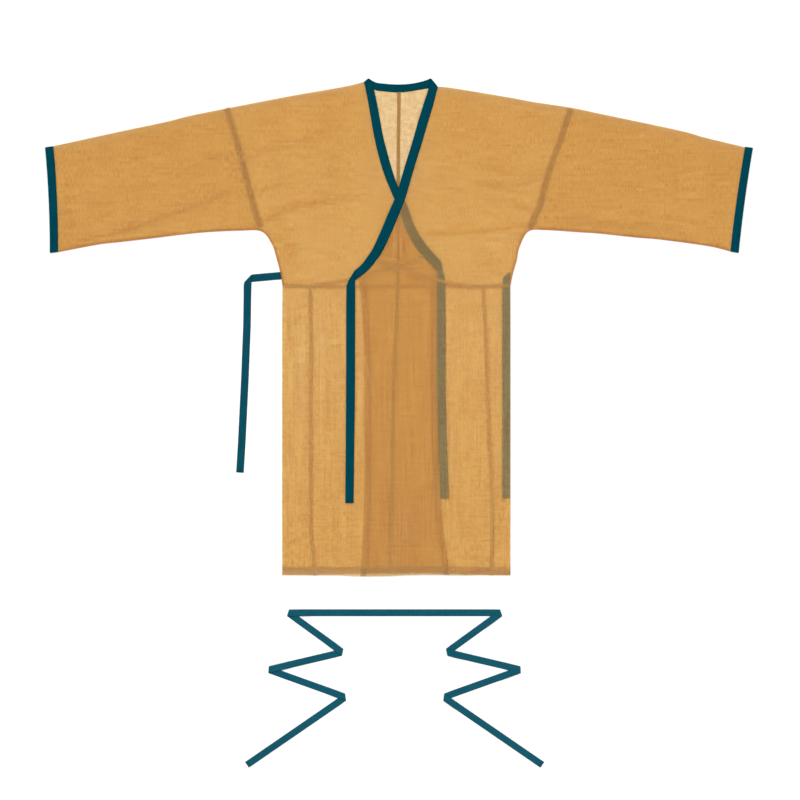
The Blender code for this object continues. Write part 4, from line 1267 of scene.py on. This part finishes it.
def seams(material, seam_shaded_gauze):
    """All seams. The second argument is the darker gauze of the sleeves' seams and the centre-back seam:
    sewn layers, with painted shade along the seams.
    """
    items = {}
    inside_back = inside(floor_level, 1)
    for side, level in (("right", inside(inner_rest, -1)), ("left", inside(outer_rest, -1))):
        line = SLEEVE_SEAMS[side]
        shift = SIDES[side]["inward"] * SLEEVE_SEAM_SHIFT / 2
        parts = [(line, inside_back, -shift), (line, level, shift)]
        items["sleeve_" + side] = seam("seam_sleeve_" + side, parts, seam_shaded_gauze, SLEEVE_SEAM_WIDTH,
                                       SLEEVE_SEAM_DENSE, look=SLEEVE_SEAM_LOOK,
                                       brownness=SLEEVE_SEAM_BROWN)
        waist = SIDES[side]["waist"]
        keys = (waist.keys[0], waist.keys[-1]) if side == "right" else (waist.keys[-1], waist.keys[0])
        line = curve_points(waist, *keys, WAIST_SEAM_STEPS, down=False)
        items["waist_" + side] = seam("seam_waist_front_" + side, [(line, level, 0.0)], material,
                                      WAIST_SEAM_WIDTH, WAIST_SEAM_DENSE)
        line = curve_points(SIDES[side]["seam"], WAIST_Y, HEM_Y, SKIRT_SEAM_STEPS)
        parts = [(line, level, SKIRT_SEAM_SHIFT[side])]
        items["skirt_" + side] = seam("seam_skirt_" + side, parts, material)
    line = curve_points(BACK_WAIST, BACK_WAIST.keys[0], BACK_WAIST.keys[-1], WAIST_SEAM_STEPS, down=False)
    items["waist_back"] = seam("seam_waist_back", [(line, inside_back, 0.0)], material,
                               WAIST_SEAM_WIDTH, WAIST_SEAM_DENSE)
    line = curve_points(CENTRE_BACK, CENTRE_SEAM_TOP, HEM_Y, CENTRE_SEAM_STEPS)
    items["centre_back"] = seam("seam_centre_back", [(line, inside_back, 0.0)], seam_shaded_gauze,
                                CENTRE_SEAM_WIDTH, CENTRE_SEAM_DENSE, CENTRE_PROFILE)
    return items


# --- Materials

class Value:
    """An output of a node that is added, subtracted and multiplied as a number is."""

    def __init__(self, graph, socket):
        self.graph = graph
        self.socket = socket

    def __add__(self, other):
        return self.graph.math("ADD", self, other)

    def __radd__(self, other):
        return self.graph.math("ADD", other, self)

    def __sub__(self, other):
        return self.graph.math("SUBTRACT", self, other)

    def __rsub__(self, other):
        return self.graph.math("SUBTRACT", other, self)

    def __mul__(self, other):
        return self.graph.math("MULTIPLY", self, other)

    def clamp(self, low, high):
        return self.graph.math("MINIMUM", self.graph.math("MAXIMUM", self, low), high)


class Graph:
    """A material's node tree, built by short calls."""

    def __init__(self, name):
        self.material = bpy.data.materials.new(name)
        self.material.use_nodes = True
        self.tree = self.material.node_tree
        self.tree.nodes.clear()

    def made(self, kind, inputs=(), output=0, **settings):
        """One output of a new node. A colour among its inputs is given as red, green, blue."""
        node = self.tree.nodes.new(kind)
        for key, value in settings.items():
            setattr(node, key, value)
        for key, value in dict(inputs).items():
            if isinstance(value, Value):
                self.tree.links.new(value.socket, node.inputs[key])
            else:
                node.inputs[key].default_value = (*value, 1.0) if isinstance(value, tuple) else value
        return Value(self, node.outputs[output]) if node.outputs else None

    def finished(self, shader):
        self.made("ShaderNodeOutputMaterial", {"Surface": shader})
        return self.material

    def math(self, operation, a, b=0.0):
        return self.made("ShaderNodeMath", {0: a, 1: b}, operation=operation)

    def attribute(self, name):
        return self.made("ShaderNodeAttribute", output="Fac", attribute_name=name)

    def noise(self, x, y, detail, roughness=0.5):
        """Noise between about 0.2 and 0.8, one lump for each whole step of x and y."""
        place_at = self.made("ShaderNodeCombineXYZ", {0: x, 1: y})
        inputs = {"Vector": place_at, "Scale": 1.0, "Detail": detail, "Roughness": roughness}
        return self.made("ShaderNodeTexNoise", inputs, noise_dimensions="2D")

    def lumps(self, across, along, wide, high, strength, detail=1.0, roughness=0.5, middle=0.5):
        """Uneven spots of wide x high millimetres, strength times how far the noise is from middle."""
        return (self.noise(across * (1 / wide), along * (1 / high), detail, roughness) - middle) * strength

    def split(self, vector):
        """The first two coordinates of a vector."""
        first = self.made("ShaderNodeSeparateXYZ", {0: vector})
        return first, Value(self, first.socket.node.outputs[1])

    def cloth_mm(self):
        """The cloth's own coordinates in millimetres: across, along."""
        uv = self.made("ShaderNodeUVMap", uv_map="cloth")
        return self.split(self.made("ShaderNodeVectorMath", {0: uv, "Scale": 1.0 / MM}, operation="SCALE"))

    def thread(self, across, pitch):
        """0 between threads and 1 on them."""
        wave = self.math("SINE", across * (2 * math.pi / pitch))
        return self.made("ShaderNodeMath", {0: wave, 1: 0.5, 2: 0.5}, operation="MULTIPLY_ADD")

    def mix_colour(self, share, a, b):
        return self.made("ShaderNodeMix", {0: share, 6: a, 7: b}, output=2, data_type="RGBA")

    def mix_shader(self, share, a, b):
        return self.made("ShaderNodeMixShader", {0: share, 1: a, 2: b})

    def principled(self, colour, roughness, specular, **more):
        inputs = {"Base Color": colour, "Roughness": roughness, "Specular IOR Level": specular, **more}
        return self.made("ShaderNodeBsdfPrincipled", inputs)

    def bump(self, height, strength, distance):
        return self.made("ShaderNodeBump", {"Strength": strength, "Distance": distance, "Height": height})


# Finishes: roughness and gloss, and the threads' relief: how strong, and how high in metres
GAUZE_FINISH, GAUZE_BUMP = (0.7, 0.1), (0.35, 0.0003)
BAND_FINISH, BAND_BUMP = (0.8, 0.0), (0.4, 0.0002)
FLOOR_FINISH = (0.9, 0.0)
THREAD_PITCH = 1.1
COVER = 0.60           # how much of the light the cloth stops, where it is one layer
COVER_RANGE = (0.05, 0.98)
FIBRE_PALE, FIBRE_DEEP = (0.876, 0.593, 0.215), (0.520, 0.240, 0.090)
GLOW_PALE, GLOW_DEEP = (0.94, 0.670, 0.014), (0.81, 0.500, 0.006)
FIBRE_SEWN, GLOW_SEWN = (0.76, 0.500, 0.290), (0.58, 0.370, 0.020)
# The seams' darker gauze: sewn layers, made darker still by painted shade along the seams
FIBRE_SEAM_SHADED, GLOW_SEAM_SHADED = (0.62, 0.345, 0.115), (0.35, 0.190, 0.005)
GLOW_SHARE = 0.5       # how much of the light that the cloth stops goes through its threads
PATTERN_COVER = 0.50   # how much the uneven weave changes the cover, and the depth of the colour
PATTERN_DEPTH = 4.0
MIDDLE_DEPTH = 0.5
BROWN_DEPTH = 0.5      # a sewn edge's colour is this much deeper
UNDER_CALM = 0.30      # how much evener the back looks than the fronts
UNDER_DASHES_CALM = 0.5
UNDER_BARS_CALM = 0.8
SEWN_CALM = 0.7        # how much evener sewn layers look than plain cloth
SEWN_CALM_GAIN = 1.4
WEAVE_MIDDLE, WEAVE_DEPTH = 0.68, 0.22
SKIRT_TOP_Y = WAIST_Y + 10.0
SKIRT_RAMP = 12.0      # the skirt's own weave comes in over a metre divided by this
STREAKS_ABOVE = 0.25   # how strong its streaks are above the waist
# Streaks of the gathers in the cloth's density and colour, partly bunched cloth and partly painted shade
FAN_RAYS = (38.0, 14.0, 0.60)        # rays for each radian, breaks for each metre along, strength
RUCK_LINES = (22.0, 330.0, 0.26)     # breaks for each metre along, lines for each metre across, strength
GATHER_NOISE = (2.0, 0.6)            # their noise's detail and roughness
NECK_LIFT = 0.02

# Uneven spots of the gauze: width and length in millimetres, strength, then detail, roughness and middle
# where they aren't the usual ones
LUMPS = {
    "sway_across": (40, 60, 1.6),
    "sway_along": (45, 50, 1.6),
    "strong_warp": (42, 30, 4.0, 1.0, 0.5, 0.38),
    "strong_weft": (55, 26, 4.0, 1.0, 0.5, 0.42),
    "dashes": (3.0, 11.5, 0.39),
    "bars": (60, 5.6, 0.24),
    "specks": (2.8, 2.8, 0.125),
    "streaks": (3.8, 130, 0.29, 3.0, 0.6),
    "patches": (60, 95, 0.06, 3.0),
    "skirt_bars": (15, 4.2, 0.19),
    "neck_bars": (18, 8.0, 0.23),
    "neck_short_bars": (7, 4.6, 0.21),
    "neck_streaks": (4.4, 24, 0.16),
}
WARP_RANGE, WEFT_RANGE = (0.5, 1.0), (0.4, 1.0)


def gauze_material(name="gauze", fibre_sewn=FIBRE_SEWN, glow_sewn=GLOW_SEWN):
    """Sheer plain weave. Its threads clump in fine dashes, mostly up and down the robe."""
    graph = Graph(name)
    across, along = graph.cloth_mm()
    x, y = graph.split(graph.made("ShaderNodeTexCoord", output="Object"))
    dense, sewn, brown, under, neck, fan, ruck = [
        graph.attribute(key) for key in ("dense", "sewn", "brown", "under", "neck", "fan", "ruck")]
    uneven = {key: graph.lumps(across, along, *row) for key, row in LUMPS.items()}

    warp = graph.thread(across + uneven["sway_across"], THREAD_PITCH)
    weft = graph.thread(along + uneven["sway_along"], THREAD_PITCH)
    weave = graph.math("MAXIMUM", warp, weft)
    strong_warp = uneven["strong_warp"].clamp(*WARP_RANGE) * (1.0 - under * UNDER_DASHES_CALM)
    strong_weft = uneven["strong_weft"].clamp(*WEFT_RANGE)

    # Streaks of the fine gathers: partly bunched cloth, partly painted shade
    fan_x, fan_y = [(FAN_CENTRE[k] - LAYOUT_MIDDLE[k]) * MM for k in (0, 1)]
    off_x, off_y = x - fan_x, fan_y - y
    rays, breaks, ray_strength = FAN_RAYS
    angle = graph.math("ARCTAN2", off_x, off_y)
    away = graph.math("SQRT", off_x * off_x + off_y * off_y)
    fan_streaks_and_shade = (graph.noise(angle * rays, away * breaks, *GATHER_NOISE) - 0.5) * ray_strength
    lean_x, lean_y = direction(RUCK_ANGLE)
    breaks, lines, line_strength = RUCK_LINES
    rucks_along, rucks_across = x * lean_x + y * lean_y, y * lean_x - x * lean_y
    ruck_streaks_and_shade = graph.noise(rucks_along * breaks, rucks_across * lines, *GATHER_NOISE)
    gather_streaks_and_shade = fan_streaks_and_shade * fan + (ruck_streaks_and_shade - 0.5) * line_strength * ruck

    below_waist = (SKIRT_TOP_Y * MM - y) * SKIRT_RAMP
    skirt_bars = uneven["skirt_bars"] * below_waist.clamp(0.0, 1.0) * (1.0 - under * UNDER_BARS_CALM)
    streaks = uneven["streaks"] * below_waist.clamp(STREAKS_ABOVE, 1.0)
    neck_lines = uneven["neck_bars"] + uneven["neck_short_bars"] + uneven["neck_streaks"] + NECK_LIFT
    pattern = ((weave - WEAVE_MIDDLE) * WEAVE_DEPTH + uneven["dashes"] * strong_warp
               + uneven["bars"] * strong_weft + gather_streaks_and_shade + skirt_bars + uneven["specks"] + streaks
               + uneven["patches"])
    calm = 1.0 - (sewn * SEWN_CALM_GAIN).clamp(0.0, 1.0) * SEWN_CALM
    pattern = pattern * (calm * (1.0 - under * UNDER_CALM)) + neck_lines * neck

    cover = (COVER + dense + pattern * PATTERN_COVER).clamp(*COVER_RANGE)
    depth = (MIDDLE_DEPTH + pattern * PATTERN_DEPTH + brown * BROWN_DEPTH).clamp(0.0, 1.0)
    fibre = graph.mix_colour(sewn, graph.mix_colour(depth, FIBRE_PALE, FIBRE_DEEP), fibre_sewn)
    shine = graph.mix_colour(sewn, graph.mix_colour(depth, GLOW_PALE, GLOW_DEEP), glow_sewn)
    surface = graph.principled(fibre, *GAUZE_FINISH, Normal=graph.bump(weave, *GAUZE_BUMP))
    glow = graph.made("ShaderNodeBsdfTranslucent", {"Color": shine})
    threads = graph.mix_shader(GLOW_SHARE, surface, glow)
    clear = graph.made("ShaderNodeBsdfTransparent")
    return graph.finished(graph.mix_shader(cover, clear, threads))


BAND_PITCH = 0.7
RIB_PITCH = 4.3        # the ties' own weft bunches in faint ribs
BAND_STREAKS = (0.9, 24, 0.8, 2.0)     # the same columns as in LUMPS
BAND_PATCHES = (14, 30, 0.7, 2.0)
BAND_BASE, BAND_WEAVE = 0.1, 0.35


def band_material(name, pale, deep, ribs=0.0):
    """A close plain weave. Its fine threads run along and across the band."""
    graph = Graph(name)
    across, along = graph.cloth_mm()
    weave = graph.math("MAXIMUM", graph.thread(across, BAND_PITCH), graph.thread(along, BAND_PITCH))
    uneven = [graph.lumps(across, along, *row) for row in (BAND_STREAKS, BAND_PATCHES)]
    ribbed = (graph.thread(along, RIB_PITCH) - 0.5) * ribs
    share = BAND_BASE + weave * BAND_WEAVE + uneven[0] + uneven[1] + ribbed
    colour = graph.mix_colour(share.clamp(0.0, 1.0), deep, pale)
    return graph.finished(graph.principled(colour, *BAND_FINISH, Normal=graph.bump(weave, *BAND_BUMP)))


# --- Scene

FLOOR_REACH = 80.0
FLOOR_WHITE = 0.9
SKY = 0.80             # the strength of the even light, and of the soft lamp beside it
LAMP, LAMP_SPREAD, LAMP_TURN = 1.75, 30.0, (-34.0, -18.0, 0.0)
VIEW_WIDTH = 1.68      # metres of floor across the picture
VIEW_CENTRE = (0.00215, 0.0481)
CAMERA_HEIGHT = 6.0
SENSOR_MM = 36.0


def make_stage():
    graph = Graph("floor")
    mesh = bpy.data.meshes.new("floor")
    corners = [(x * FLOOR_REACH, y * FLOOR_REACH, 0.0) for x, y in ((-1, -1), (1, -1), (1, 1), (-1, 1))]
    mesh.from_pydata(corners, [], [(0, 1, 2, 3)])
    mesh.materials.append(graph.finished(graph.principled((FLOOR_WHITE,) * 3, *FLOOR_FINISH)))
    add_object("floor", mesh)


def make_light():
    world = bpy.data.worlds.new("studio")
    world.use_nodes = True
    background = world.node_tree.nodes["Background"]
    background.inputs["Color"].default_value = (1.0, 1.0, 1.0, 1.0)
    background.inputs["Strength"].default_value = SKY
    bpy.context.scene.world = world
    lamp = bpy.data.lights.new("window", "SUN")
    lamp.energy = LAMP
    lamp.angle = math.radians(LAMP_SPREAD)
    add_object("window", lamp).rotation_euler = [math.radians(angle) for angle in LAMP_TURN]


def make_camera():
    data = bpy.data.cameras.new("camera")
    data.sensor_width = SENSOR_MM
    data.lens = SENSOR_MM * CAMERA_HEIGHT / VIEW_WIDTH
    camera = add_object("camera", data)
    camera.location = (*VIEW_CENTRE, CAMERA_HEIGHT)
    bpy.context.scene.camera = camera
    bpy.context.scene.view_settings.view_transform = "Standard"


# The bands' colours, on the threads and between them, and how strong the ribs are
BAND_COLOURS = {
    "binding": ((0.0010, 0.058, 0.085), (0.0001, 0.042, 0.062)),
    "belt_tape": ((0.011, 0.100, 0.140), (0.006, 0.070, 0.103)),
    "tie_tape": ((0.0062, 0.078, 0.110), (0.0028, 0.054, 0.080)),
    # The ties under the gauze are lighter, bluer copies of the tie tape: painted light for the light that
    # the gauze over them scatters
    "tie_lit_within": ((0.020, 0.128, 0.185), (0.004, 0.062, 0.092), 1.2),
    "side_tie_lit_within": ((0.036, 0.160, 0.240), (0.012, 0.084, 0.126), 1.2),
}

# Each panel's cut laid flat, in metres, and the seams that go with each half's panel
PANELS = [
    (sleeve, (0.53, 0.45), {"right": ["sleeve_right"], "left": ["sleeve_left"]}),
    (bodice, (0.42, 0.90), {"right": ["waist_right", "waist_back"], "left": ["waist_left"]}),
    (skirt_back, (0.31, 0.64), {"right": ["centre_back"], "left": []}),
    (skirt_front, (0.32, 0.68), {"right": ["skirt_right"], "left": ["skirt_left"]}),
]


def make_robe():
    gauze = gauze_material()
    tape = {name: band_material(name, *row) for name, row in BAND_COLOURS.items()}
    allowances = seams(gauze, gauze_material("gauze_seam_shaded", FIBRE_SEAM_SHADED, GLOW_SEAM_SHADED))
    for side in ("right", "left"):
        for make, (width, length), sewn_on in PANELS:
            panel, area = make(side, gauze)
            min(area, width * length)
            [allowances[key] for key in sewn_on[side]]
        cuff = cuff_band(side, tape["binding"])
    neck_band = collar(tape["binding"])
    tie_outer = flat_tie("tie_outer", TIE_OUTER, OUTER_TIE_REST, tape["binding"])
    tie_inner = flat_tie("tie_inner", TIE_INNER, FRONT_REST, tape["tie_lit_within"])
    tie_side_left = flat_tie("tie_side_left", TIE_SIDE_LEFT, FRONT_REST, tape["side_tie_lit_within"])
    tie_side_right = folded_strip("tie_side_right", SIDE_TIE_RIGHT, (1,), SIDE_TIE_WIDTH, tape["tie_tape"])
    for item, flat, under in (
            (neck_band, (0.018, 1.10), ["cloth_bodice_right", "cloth_bodice_left"]),
            (tie_outer, (0.018, 0.49), ["cloth_skirt_front_right"]),
            (tie_inner, (0.018, 0.49), ["cloth_skirt_back_left"]),
            (tie_side_left, (0.016, 0.47), ["cloth_skirt_back_left"]),
            (tie_side_right, (0.015, 0.47), ["floor"]),
            (belt(tape["belt_tape"]), (0.014, 1.89), ["floor"])):
        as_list(under)


make_camera()
make_light()
make_stage()
make_robe()
